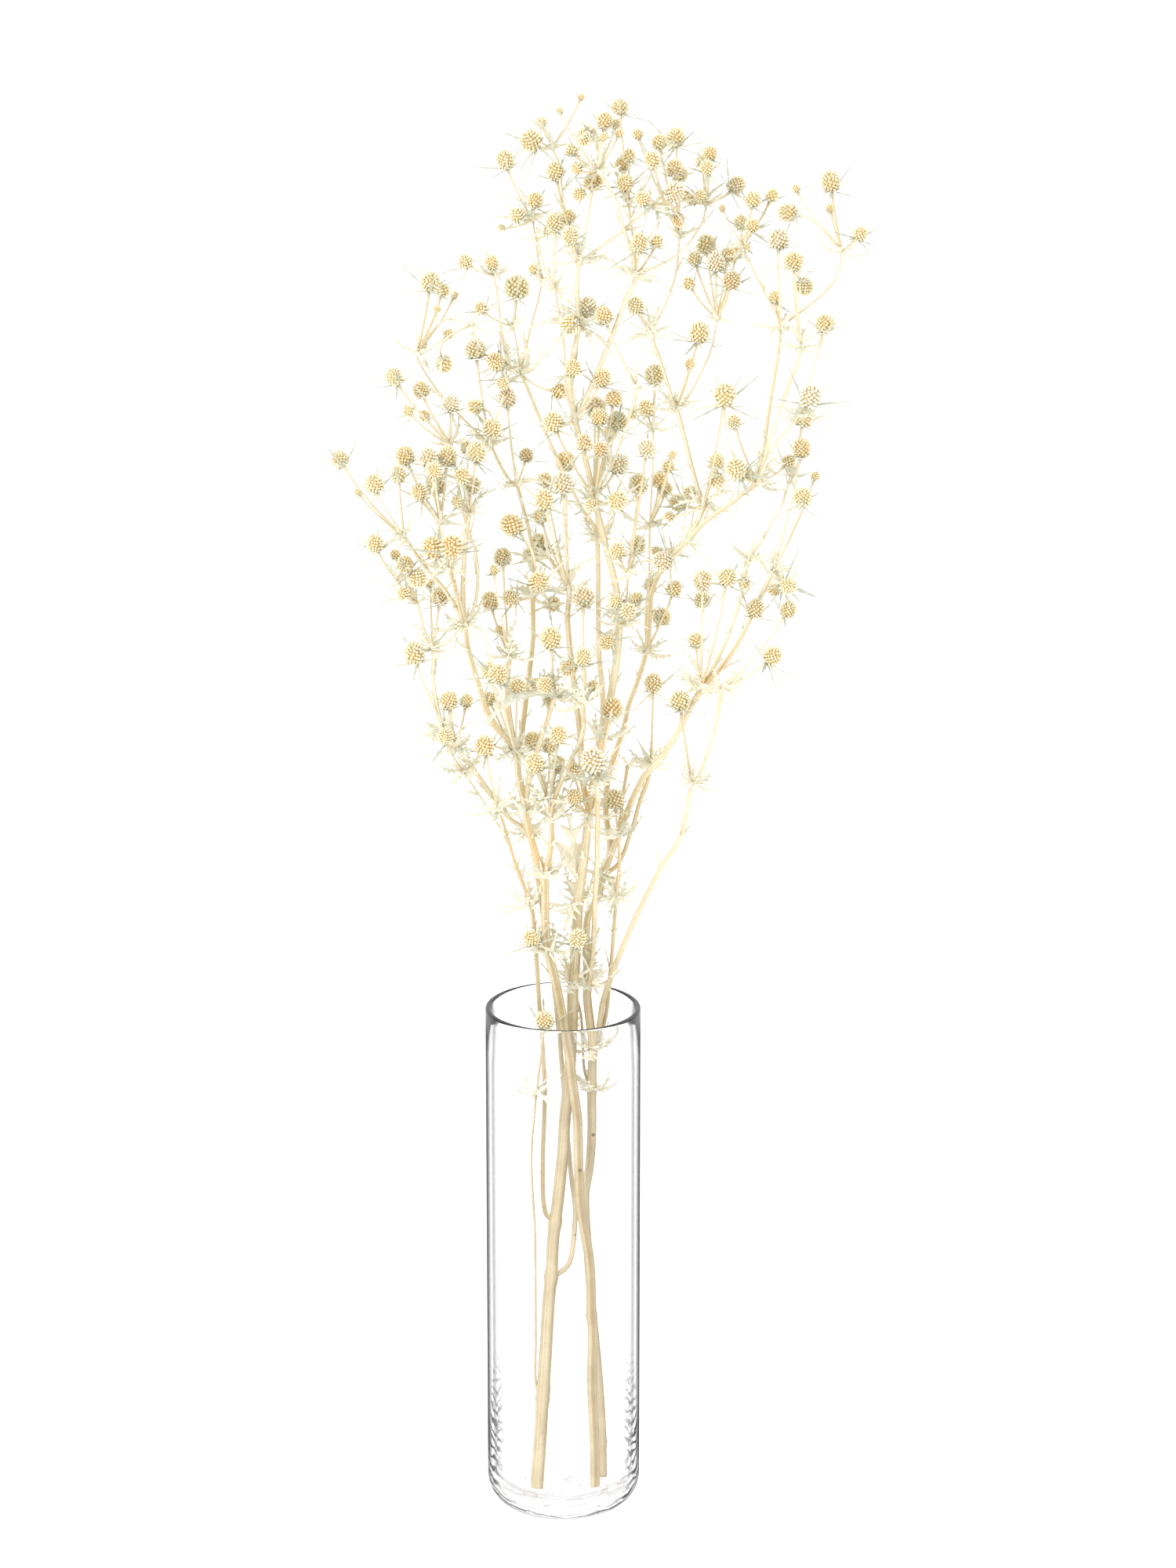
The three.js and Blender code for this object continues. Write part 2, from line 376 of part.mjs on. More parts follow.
function rightStem() {
  return shoot(2.4, [[20.8, 12.4, 2], [20.5, 33, 3], [19.7, 51, 3], [18, 75, 4], [15, 110, 5],
    [13, 140, 6],
    [11.3, 171, 6], [13.7, 188, 5], [14.9, 206, 5], [14.9, 231, 5]],
    [], [],
    shoot(0.7, [[11.3, 240, 7], [10.3, 257, 8], [9, 273, 8], [7, 280, 9]], [], [[7, 262, 6, 4]]),
    shoot(2.3, [[15.3, 243, 5], [15.8, 252, 5]],
      [], [[21, 262, 2, 5]],
      shoot(1.3, [[18.5, 264, 4], [20.5, 278, 2], [24.5, 291, 0], [29.5, 305, -2], [37, 323, -5],
        [50, 350, -10], [60, 367, -13], [66, 395, -18]],
        [[59.5, 438.5, -10, 10]], [[61, 403, -20, 5], [66, 399, -24, 3], [70, 398, -16, 3]],
        shoot(0.8, [[69.5, 400, -19], [72, 407.5, -21], [76.5, 421, -23], [79, 433.5, -25],
          [81.5, 446, -26]],
          [[106, 462.5, -34, 9], [113.5, 486.5, -28, 8]], [[87, 438, -30, 3], [88, 451, -26, 2]])),
      shoot(1, [[21.5, 268, 8], [24.5, 295, 8], [26, 315, 8], [27.5, 335, 8]],
        [], [[22, 337, 4, 4.5], [24, 324, 4, 3.5], [29.5, 348, 6, 4.5]],
        shoot(0.9, [[29, 355, 8], [28.5, 368, 6]], [[26.5, 386.5, 4, 9.5]], [])),
      shoot(2.2, [[14, 266, 5], [12.4, 282, 5], [13, 288, 5]],
        [], [[17, 301, -2, 6], [18.5, 281, 4, 2.5], [19, 318, 10, 4]],
        rightFrontShoot(),
        shoot(1.7, [[12, 308, 6], [13, 325, 9], [18, 335, 12], [21, 347, 15]],
          [], [[24, 357, 8, 5]],
          rightLowFork(),
          rightMiddleFork(),
          shoot(1, [[28.5, 353, 18], [35.5, 372, 20], [39, 385, 20], [43, 396, 20], [45, 406, 20]],
            [[46, 448, 14, 9]], [[40, 411, 16, 3], [37, 409, 18, 2.5], [52, 415, 18, 3]]),
          shoot(0.9, [[29, 375, 22], [31, 391, 25], [33, 405, 26]],
            [], [[40, 408, 24, 7], [27, 411, 22, 5]])))));
}

// The random draw behind every small difference between the heads, from a fixed start
let draw = 4711;
function random(low, high) {
  draw = (draw * 16807) % 2147483647;
  return low + ((high - low) * draw) / 2147483647;
}

// The point at depth y that the viewer sees at x, z of the plane y = 0
function seen([x, z, y]) {
  const reach = 1 - y / EYE.y;
  return new THREE.Vector3(x * reach, y, EYE.z + reach * (z - EYE.z));
}

function along(start, direction, distance) {
  return start.clone().addScaledVector(direction, distance);
}

// Every straight piece placed so far, with its half thickness, so that stems stay clear of each other
const placed = [];

function place(stem, start, end, reach, joint) {
  placed.push({ stem, line: new THREE.Line3(start, end), reach, joint });
}

// Other stems keep their distance. The stem's own pieces only count when a joint is given, apart
// from those that grow from that joint.
function isClear(stem, line, reach, joint) {
  return placed.every((other) => {
    const own = other.stem === stem;
    if (own && (!joint || other.joint === joint || other.line.end === joint)) return true;
    const gap = reach + other.reach + (own ? 0 : CLEARANCE);
    return other.line.distanceSqToLine3(line) > gap * gap;
  });
}

// A route without the points that hardly bend it
function withoutStraightPoints(points) {
  const kept = [points[0]];
  for (let i = 1; i < points.length - 1; i += 1) {
    const line = new THREE.Line3(kept.at(-1), points[i + 1]);
    const nearest = line.closestPointToPoint(points[i], true, new THREE.Vector3());
    if (nearest.distanceTo(points[i]) > LEAST_BEND) kept.push(points[i]);
  }
  return [...kept, points.at(-1)];
}

// The shoots of one stem in a flat list, each with its line of points and their half thicknesses
function planShoots(stem, growth, start, startGirth) {
  const tips = growth.route.map(seen);
  if (!start) tips[0].z = FLOOR_THICKNESS + SEAT_GAP;
  const points = withoutStraightPoints(start ? [start, ...tips] : tips);
  const fork = points.at(-1);
  const base = start ? Math.min(startGirth, growth.girth * BASE_SWELL) : growth.girth;
  const radii = points.map(
    (_, index) => THREE.MathUtils.lerp(base, growth.girth, index / (points.length - 1)));
  for (let i = 1; i < points.length; i += 1) {
    place(stem, points[i - 1], points[i], base, points[i - 1]);
  }
  const next = growth.shoots.map((one) => planShoots(stem, one, fork, growth.girth));
  const own = { points, radii, fork, growth, next: next.map(([first]) => first) };
  return [own, ...next.flat()];
}

// The lines of branch that leave a fork: its thickest shoot carries the line on, the others start one
function branchLines(shoot, rooted) {
  const [heir, ...others] = [...shoot.next].sort((a, b) => b.growth.girth - a.growth.girth);
  if (!heir) return [{ points: shoot.points, radii: shoot.radii, rooted }];
  const [line, ...branches] = branchLines(heir, rooted);
  const whole = {
    points: [...shoot.points, ...line.points.slice(1)],
    radii: [...shoot.radii, ...line.radii.slice(1)],
    rooted,
  };
  return [whole, ...branches, ...others.flatMap((other) => branchLines(other, false))];
}

// A head looks away from its fork and a little upward, unless the way it faces is given
function headAt(fork, [x, z, y, width, facing], shift) {
  const centre = seen([x, z, y + shift]);
  const axis = centre.clone().sub(fork).normalize().addScaledVector(UP, UPWARD).normalize();
  if (facing) axis.set(facing[0], 0, facing[1]).normalize();
  const foot = along(centre, axis, -HEAD_BASE * width);
  const crown = along(centre, axis, (HEAD_HEIGHT - HEAD_BASE) * width);
  const inset = BODY_INSET * width;
  const body = new THREE.Line3(along(foot, axis, inset), along(crown, axis, -inset));
  const length = foot.distanceTo(fork);
  const curve = new THREE.QuadraticBezierCurve3(fork, along(foot, axis, -STALK_BEND * length), foot);
  const stalk = [fork, along(fork, curve.getTangent(0), STALK_NECK)];
  if (length > LONG_STALK) stalk.push(curve.getPoint(0.5));
  stalk.push(foot);
  return { width, axis, foot, crown, body, stalk };
}

// Whether a head and its stalk are clear of the other stems, and of its own stem too if that is asked
function headIsClear(stem, { stalk, body, width }, ownToo) {
  const joint = ownToo ? stalk[0] : null;
  const lines = stalk.slice(1).map((point, index) => new THREE.Line3(stalk[index], point));
  return isClear(stem, body, BODY_REACH * width, joint)
    && lines.every((line, index) => isClear(stem, line, STALK_GIRTH, index ? joint : null));
}

// A head moves nearer or farther until nothing runs through it or its stalk
function planHead(stem, fork, listed) {
  const shifts = Array.from({ length: DEPTH_TRIES },
    (_, index) => Math.ceil(index / 2) * (index % 2 ? 1 : -1));
  const choices = shifts.map((shift) => headAt(fork, listed, DEPTH_STEP * shift));
  const head = choices.find((choice) => headIsClear(stem, choice, true))
    ?? choices.find((choice) => headIsClear(stem, choice, false)) ?? choices[0];
  const { stalk, body, foot, width } = head;
  for (let i = 1; i < stalk.length; i += 1) {
    place(stem, stalk[i - 1], stalk[i], STALK_GIRTH, i > 1 ? foot : fork);
  }
  place(stem, body.start, body.end, BODY_REACH * width, foot);
  return head;
}

// The tip of a spine or leaf, drawn in toward its foot until nothing is in its way
function clearTip(stem, foot, tip, reach, joint) {
  const tips = TIP_LENGTHS.map((length) => foot.clone().lerp(tip, length));
  const end = tips.find((point) => isClear(stem, new THREE.Line3(foot, point), reach, joint)) ?? tips.at(-1);
  place(stem, foot, end, reach, joint);
  return end;
}

// Makes the rings of one lofted shape in turn, each twisted as little as can be from the one before.
// A ring lies square to the way it is given, with the distance of each point from its centre.
function ringMaker(way) {
  const side = new THREE.Vector3(0, 1, 0).cross(way).normalize();
  return (centre, axis, distances, turn = 0) => {
    side.addScaledVector(axis, -side.dot(axis)).normalize();
    const front = axis.clone().cross(side);
    return distances.map((distance, index) => {
      const angle = turn + (2 * Math.PI * index) / distances.length;
      return along(along(centre, side, distance * Math.cos(angle)), front, distance * Math.sin(angle));
    });
  };
}

// A closed surface as a solid
function solid(geometry) {
  const surface = new THREE.BufferGeometry();
  surface.setAttribute('position', geometry.attributes.position);
  surface.setIndex(geometry.index);
  const merged = mergeVertices(surface, MERGE);
  const corners = [];
  for (let i = 0; i < merged.index.count; i += 3) {
    const face = [0, 1, 2].map((corner) => merged.index.getX(i + corner));
    if (new Set(face).size === 3) corners.push(...face);
  }
  return new wasm.Manifold(new wasm.Mesh({
    numProp: 3,
    vertProperties: merged.attributes.position.array,
    triVerts: new Uint32Array(corners),
  }));
}

function lofted(sections, capStart, capEnd) {
  return solid(new LoftGeometry(sections, { capStart, capEnd }));
}

// A stem or branch through its points, which starts from a point inside the fork below it
function branchSolid({ points, radii, rooted }) {
  const sides = BRANCH_SIDES.find(([least]) => radii[1] >= least)[1];
  const first = points[1].clone().sub(points[0]).normalize();
  const final = points.at(-1).clone().sub(points.at(-2)).normalize();
  const ring = ringMaker(first);
  const round = (centre, axis, radius) => ring(centre, axis, Array(sides).fill(radius));
  const sections = rooted ? [] : [
    round(along(points[0], first, -random(...ROOT_DEPTH)), first, 0),
    round(along(points[0], first, NECK * radii[0]), first, radii[0]),
  ];
  points.forEach((point, index) => {
    if (index === 0 && !rooted) return;
    const before = points[Math.max(index - 1, 0)];
    const after = points[index + 1];
    const knob = radii[index] + KNOB;
    if (!after) sections.push(round(along(point, final, knob), final, knob));
    else sections.push(round(point, index ? after.clone().sub(before).normalize() : UP, radii[index]));
  });
  return lofted(sections, rooted, true);
}

// A flower head on its stalk: a star of spiny bracts under an egg of florets that stand out in turn.
// The smallest heads are buds without bracts.
function headSolid(stem, { width, axis, foot, crown, stalk }) {
  const florets = [0, 1, 0, 1, 0, 1];
  const turn = random(0, Math.PI);
  const ring = ringMaker(axis);
  const bumpy = (height, radius, standing) => ring(along(foot, axis, height * width), axis,
    florets.map((inner) => radius * width * (inner === standing ? 1 + SPIKE : 1 - SPIKE)), turn);
  // The stalk is three-cornered, with each corner given twice to meet the six points of the head
  const cornered = (centre, way, radius) => ring(centre, way, [radius, radius, radius], turn + Math.PI / 6)
    .flatMap((corner) => [corner, corner.clone()]);
  const toNext = (index) => stalk[index + 1].clone().sub(stalk[index]).normalize();
  const sections = [cornered(along(stalk[0], toNext(0), -random(...ROOT_DEPTH)), toNext(0), 0)];
  for (let i = 1; i < stalk.length - 1; i += 1) sections.push(cornered(stalk[i], toNext(i), STALK_GIRTH));
  sections.push(cornered(foot, axis, STALK_GIRTH));
  if (width >= BRACTS_FROM) {
    const collar = along(foot, axis, COLLAR * width);
    const spread = florets.map(
      (inner) => width * (inner ? BRACT_NOTCH : BRACT_LENGTH * random(...BRACT_SPREAD)));
    sections.push(ring(collar, axis, spread, turn).map((point, index) => {
      if (florets[index]) return point;
      const tip = along(point, axis, random(...BRACT_LIFT) * width);
      return clearTip(stem, collar, tip, BRACT_HALF * width, foot);
    }));
  }
  (width >= TWO_ROWS ? LARGE_HEAD : SMALL_HEAD).forEach((row) => sections.push(bumpy(...row)));
  sections.push(ring(crown, axis, florets.map(() => 0), turn));
  return lofted(sections, false, false);
}

// A leaf blade from its fork to its tip, arched over a thick midrib, with cut edges
function leafSolid(stem, fork, [x, z, y, width]) {
  const tip = clearTip(stem, fork, seen([x, z, y]), LEAF_REACH * width, fork);
  const reach = tip.clone().sub(fork);
  const root = fork.clone().lerp(tip, -random(...LEAF_ROOT));
  const toward = EYE.clone().sub(fork).normalize().add(UP).normalize();
  const across = reach.clone().cross(toward).normalize();
  const top = across.clone().cross(reach).normalize();
  const arch = along(fork.clone().lerp(tip, 0.5), top, LEAF_ARCH * reach.length());
  const curve = new THREE.QuadraticBezierCurve3(root, arch, tip);
  const sections = LEAF_CUT.map((part, index) => {
    const centre = curve.getPoint(index / (LEAF_CUT.length - 1));
    const half = 0.5 * part * width;
    const rib = part ? LEAF_THICKNESS : 0;
    const rim = (side) => along(along(centre, across, side * half), top, 0.5 * rib);
    return [rim(-1), rim(1), along(centre, top, -0.5 * rib)];
  });
  return lofted(sections, false, false);
}

// A clear glass cylinder with a thick rounded foot
function vaseSolid() {
  const inner = VASE_RADIUS - WALL;
  const profile = new THREE.Path();
  profile.moveTo(0, 0);
  profile.lineTo(VASE_RADIUS - FOOT_CORNER, 0);
  profile.absarc(VASE_RADIUS - FOOT_CORNER, FOOT_CORNER, FOOT_CORNER, -Math.PI / 2, 0, false);
  profile.lineTo(VASE_RADIUS, VASE_HEIGHT - RIM_EDGE);
  profile.lineTo(VASE_RADIUS - RIM_EDGE, VASE_HEIGHT);
  profile.lineTo(inner + RIM_EDGE, VASE_HEIGHT);
  profile.lineTo(inner, VASE_HEIGHT - RIM_EDGE);
  const cornerHeight = FLOOR_THICKNESS + INNER_CORNER;
  profile.absarc(inner - INNER_CORNER, cornerHeight, INNER_CORNER, 0, -Math.PI / 2, true);
  profile.lineTo(0, FLOOR_THICKNESS);
  const outline = profile.getPoints(CORNER_STEPS);
  return solid(new THREE.LatheGeometry(outline, VASE_SIDES).rotateX(Math.PI / 2));
}

function geometryOf(body) {
  const { vertProperties, triVerts } = body.getMesh();
  const geometry = new THREE.BufferGeometry();
  geometry.setAttribute('position', new THREE.BufferAttribute(vertProperties, 3));
  geometry.setIndex(new THREE.BufferAttribute(triVerts, 1));
  return geometry;
}

// The largest shell of the joined pieces: a hollow closed in by the joins is filled, and loose
// scrap left out
function largestShell(body) {
  const shells = solid(geometryOf(body)).decompose();
  return shells.sort((a, b) => b.volume() - a.volume())[0];
}

function meshFrom(name, body, material) {
  const mesh = new THREE.Mesh(geometryOf(largestShell(body)), material);
  mesh.name = name;
  return mesh;
}

const driedPlant = (color) => new THREE.MeshStandardMaterial({ color, roughness: 0.85, metalness: 0 });
const clearGlass = new THREE.MeshStandardMaterial({
  color: '#eef3f2', roughness: 0.04, metalness: 0, transparent: true, opacity: 0.35,
});

// Every shoot is placed first, then the heads, then the leaves and spines between them
const stems = [['stem_centre', '#dcbd82', centreStem()], ['stem_left', '#d8b67a', leftStem()],
  ['stem_right', '#e0c48c', rightStem()]];
const plans = stems.map(([name, color, growth]) => ({ name, color, shoots: planShoots(name, growth) }));
plans.forEach((plan) => {
  plan.heads = plan.shoots.flatMap(({ fork, growth }) => growth.heads.map(
    (head) => planHead(plan.name, fork, head)));
});
plans.forEach((plan) => {
  const { name, shoots, heads } = plan;
  const leaves = shoots.flatMap(({ fork, growth }) => growth.leaves
    .filter((leaf) => leaf[3] >= CAD_LEAF_WIDTH)
    .map((leaf) => leafSolid(name, fork, leaf)));
  plan.pieces = [...branchLines(shoots[0], true).map(branchSolid), ...leaves];
  plan.pieces.push(...heads.map((head) => headSolid(name, head)));
});

const thistleInVase = new THREE.Group();
thistleInVase.name = 'dried_thistle_in_vase';
thistleInVase.add(meshFrom('glass_vase', vaseSolid(), clearGlass));
plans.forEach(({ name, color, pieces }) => {
  const whole = pieces.reduce((body, piece) => body.add(piece));
  thistleInVase.add(meshFrom(name, whole, driedPlant(color)));
});

export default thistleInVase;
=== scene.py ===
"""A bunch of dried thistle stems in a tall clear glass vase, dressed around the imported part.

Places are in millimetres, as in the part's own source, until a piece is finished.
"""
import math
import random

import bmesh
import bpy
import numpy
from mathutils import Matrix, Vector
from mathutils.geometry import interpolate_bezier


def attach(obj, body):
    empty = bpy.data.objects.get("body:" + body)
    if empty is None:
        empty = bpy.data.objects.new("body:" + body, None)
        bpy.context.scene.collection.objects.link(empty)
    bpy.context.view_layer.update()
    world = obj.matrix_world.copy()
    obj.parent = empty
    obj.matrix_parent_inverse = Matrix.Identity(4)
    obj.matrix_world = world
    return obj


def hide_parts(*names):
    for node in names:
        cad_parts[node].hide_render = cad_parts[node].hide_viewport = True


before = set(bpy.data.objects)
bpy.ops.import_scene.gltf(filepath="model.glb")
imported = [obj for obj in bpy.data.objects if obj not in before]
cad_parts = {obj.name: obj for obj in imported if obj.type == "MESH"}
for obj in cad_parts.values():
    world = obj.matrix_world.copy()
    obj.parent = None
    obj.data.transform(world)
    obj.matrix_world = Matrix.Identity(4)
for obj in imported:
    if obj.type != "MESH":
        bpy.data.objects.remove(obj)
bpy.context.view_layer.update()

METRES = 0.001

# The vase
VASE_RADIUS = 40
VASE_HEIGHT = 276
WALL = 2.8
FLOOR_THICKNESS = 12
FOOT_CORNER = 17
INNER_CORNER = 12
RIM_EDGE = 1.1

# The viewer in front, and the rule by which a head is set clear of what runs past it
EYE = numpy.array([0.0, -2600.0, 1168.0])
UP = numpy.array([0.0, 0.0, 1.0])
HEAD_HEIGHT = 1.14
HEAD_BASE = 0.52
BODY_REACH = 0.55
BODY_INSET = 0.4
STALK_GIRTH = 0.55
STALK_NECK = 2.6
STALK_BEND = 0.4
LONG_STALK = 20
BASE_SWELL = 1.2
SEAT_GAP = 0.4
CLEARANCE = 0.45
DEPTH_STEP = 3
DEPTH_TRIES = 31
UPWARD = 0.35
LEAST_BEND = 0.9
TINY = 1e-12

chance = random.Random(4711)


# One shoot: its half thickness at the tip, its route from the fork below, the flower heads on its
# fork as [x, z, y, width], the leaves on its fork as [x, z, y, width] of their tips, then the
# shoots that grow on from there. Each place is given as the viewer in front sees it in the plane
# y = 0, with its real distance y behind that plane.
def shoot(girth, route, heads, leaves, *shoots):
    return {"girth": girth, "route": route, "heads": heads, "leaves": leaves, "shoots": shoots}


# The thick stem at the left of the foot: the top and the middle of the bunch

def centre_upper_crown():
    return shoot(1.5, [[11.5, 565, 3], [6.3, 585, 4]],
      [[5.5, 611, -6, 8], [19.7, 605.5, -2, 8.5]], [[12, 597, 0, 3.5]],
      shoot(1.3, [[5, 592, 2], [3.5, 606, 0], [5.5, 617, -2], [8, 632, -4]],
        [[12, 641.5, 4, 10], [4.5, 633.5, -15, 9.5, [-0.8, -0.5]]],
        [[-15, 631, -12, 4.5], [-8, 616, -14, 3.5], [15, 621, -12, 3.5], [24, 618, -9, 3],
          [-5, 642, -4, 2.5]],
        shoot(1.1, [[7.5, 645, -4], [8.5, 665, -2]],
          [[4.2, 677.5, -14, 8.5], [3, 687, 8, 7], [15.5, 704.5, -2, 9], [-3.3, 709.5, 10, 9]],
          [[1, 673, -4, 6], [25, 664, 0, 3], [22, 659, -6, 2.5], [12, 676, -4, 3]],
          shoot(0.45, [[1, 690, -2], [0.2, 700, -1], [-1.8, 715, 3], [-4.5, 722, 6]],
            [[-15.2, 725, 0, 10], [-10, 734, 12, 4.5], [9.5, 746.5, 8, 3]], [[-17.8, 736, 4, 2]]),
          shoot(0.75, [[12, 667, -2], [30, 680.5, -5], [45, 693, -8]],
            [[55.5, 699.5, -12, 9.5], [57.5, 686, -14, 6, [0, -1]], [39.5, 696, -16, 6.5]],
            [[37, 695, -12, 2], [47, 681, -10, 2.5]]))),
      shoot(0.65, [[2, 600, 8], [1, 620, 10], [-1.5, 638, 11], [-4, 651.5, 10]],
        [[-3.5, 684, 4, 9]], [[5, 642, -2, 4], [-7, 657, 8, 2.5]],
        shoot(0.4, [[-8, 660, 12], [-13, 676, 14]], [[-7, 680.5, 12, 4.5]], [[-15, 679, 14, 2]])),
      shoot(1.1, [[15, 603, 0], [23, 623, -3], [31, 644, -5], [36.5, 658, -6]],
        [[38.3, 674, -12, 8.5], [46.8, 674.5, -4, 5.5]],
        [[21, 661, -8, 2.5], [26, 657, -10, 3.5], [33, 653, -12, 4], [47, 660, -6, 2.5], [48, 655, -8, 2]],
        shoot(0.85, [[30, 683, -8], [26, 697, -10], [17.5, 710.5, -10]],
          [[11.2, 727, -15, 8, [-0.6, -0.8]], [21, 734.5, -10, 7.5], [26.5, 733, -2, 4.5],
            [20.5, 727, -20, 3.5],
            [28, 728.5, -10, 4], [5, 720, -2, 5.5], [7.5, 711, -17, 5], [8.5, 698.5, -15, 6],
              [-1, 740, -4, 3]],
          [[26, 710, -10, 2], [6, 736, -12, 1.5]]),
        shoot(0.6, [[36, 670, -2], [34, 685, 2], [33, 694, 4]],
          [[31.2, 704, -4, 8], [29.5, 713, 8, 6.5], [33, 717.5, 1, 5.5], [28.5, 741.5, 10, 8]],
          [[27, 697, 2, 2]]),
        shoot(0.55, [[50, 664, 0], [60, 671, 6], [69, 684, 10], [71.5, 694, 12]],
          [[69, 714.5, 14, 6], [73, 718.5, 8, 6.5], [71.5, 711.5, 4, 6.5], [85.5, 702.5, 20, 8.5],
            [68.5, 697.5, 4, 6], [64.5, 695.5, 12, 5], [61.5, 697.5, 18, 5]],
          [[79, 703, 12, 1.5]])))


def centre_back_crown():
    return shoot(1.3, [[20.5, 433, 4], [20, 447, 8], [18.5, 463, 9], [18, 490, 10], [17.5, 524, 10]],
      [], [[11, 529, 4, 3.5]],
      shoot(0.95, [[15.5, 531, 11], [10, 539, 13], [3, 553, 16], [-8, 577.5, 20], [-20.5, 608, 20]],
        [[-1.5, 599.5, 10, 7.5]], [[-15, 620, 10, 3.5], [-26, 615, 14, 2.5]],
        shoot(0.6, [[-24, 611, 16], [-27, 614, 14]],
          [[-33, 614.5, 8, 8.5], [-29.5, 603.5, 6, 6]], [[-28, 625, 10, 3]],
          shoot(0.5, [[-30, 628, 16], [-31, 640, 20], [-33.5, 658, 25]],
            [[-34.7, 664, 24, 6.5], [-47.7, 665, 14, 6.5]], [[-41, 672, 26, 1.5]])),
        shoot(0.45, [[-22, 620, 24], [-24, 632, 28]], [[-22.5, 651.5, 30, 11.5],
          [-40.2, 641.5, 16, 5.5]], []),
        shoot(0.45, [[-18, 621, 18], [-15.5, 632, 20], [-10, 655, 22]],
          [[-14.5, 661, 20, 4]], [],
          shoot(0.4, [[-12, 668, 24], [-14.3, 686, 26]],
            [[-27.8, 715, 18, 9], [-13.3, 695, 22, 7.5], [-22.2, 688, 16, 7], [-30, 682, 24, 3]], []))))


def centre_middle_fork():
    return shoot(1.6, [[27, 498, -2], [23, 515, 0], [16, 545, 2]],
      [[11, 573, -10, 7.5], [19, 569.5, -16, 6.5], [18.5, 585.5, -18, 8.5], [16.5, 591, -7, 10],
        [27.5, 584, 14, 9.5], [24, 578.5, 4, 7], [25.7, 595.5, 4, 7.5], [-4.5, 583.5, -6, 9.5],
        [28, 562, -14, 9.5], [27.5, 543.5, -14, 9.5], [14.5, 541, -8, 6.5]],
      [[24, 550, -4, 5]],
      shoot(0.55, [[24, 560, -4], [31, 578, -10], [37.5, 602, -14]],
        [[21, 637, -10, 8.5], [35.5, 588, -8, 4.5]], [[32, 603, -14, 1.5]]),
      centre_upper_crown())


def centre_left_shoot():
    return shoot(1.2, [[2.3, 133, -2], [5.1, 145, 1], [6.2, 165, 4], [4.5, 180, 7], [3, 196, 8.5],
      [0, 235, 9], [-3.5, 276, 6], [-7, 305, 2], [-10, 325, 1], [-13, 345, 2], [-17.5, 369, 3]],
      [], [[-23, 364, 0, 3.5], [-12, 366, -2, 4]],
      shoot(1.2, [[-27, 377, -2], [-37, 391, -10], [-46.5, 405, -20], [-54, 415, -26]],
        [[-57.5, 439, -26, 8.5], [-48.8, 439, -18, 6]], [[-49, 421, -28, 2]],
        shoot(1.1, [[-57, 419, -27], [-60.5, 426, -28]],
          [[-74.8, 463.5, -36, 10.5]], [[-65.5, 416, -30, 3.5], [-52, 424, -26, 2]],
          shoot(0.95, [[-63.5, 436, -29], [-65.5, 452, -32], [-65.5, 467, -34]],
            [[-61.5, 493.5, -28, 8.5], [-66.5, 500.5, -20, 4.5]], [[-57.5, 470, -32, 3.5],
              [-62, 478, -30, 2]],
            shoot(0.7, [[-70, 477, -36], [-73.5, 491, -38]],
              [[-80, 495.5, -44, 6], [-79, 510.5, -38, 8], [-84, 515.5, -44, 4.5],
                [-73, 503.5, -32, 9, [0.6, -0.8]]],
              [[-79, 489, -38, 1.5]],
              shoot(0.45, [[-78, 496, -32], [-83, 502, -32]], [[-94, 521, -40, 8.5]], []))))))


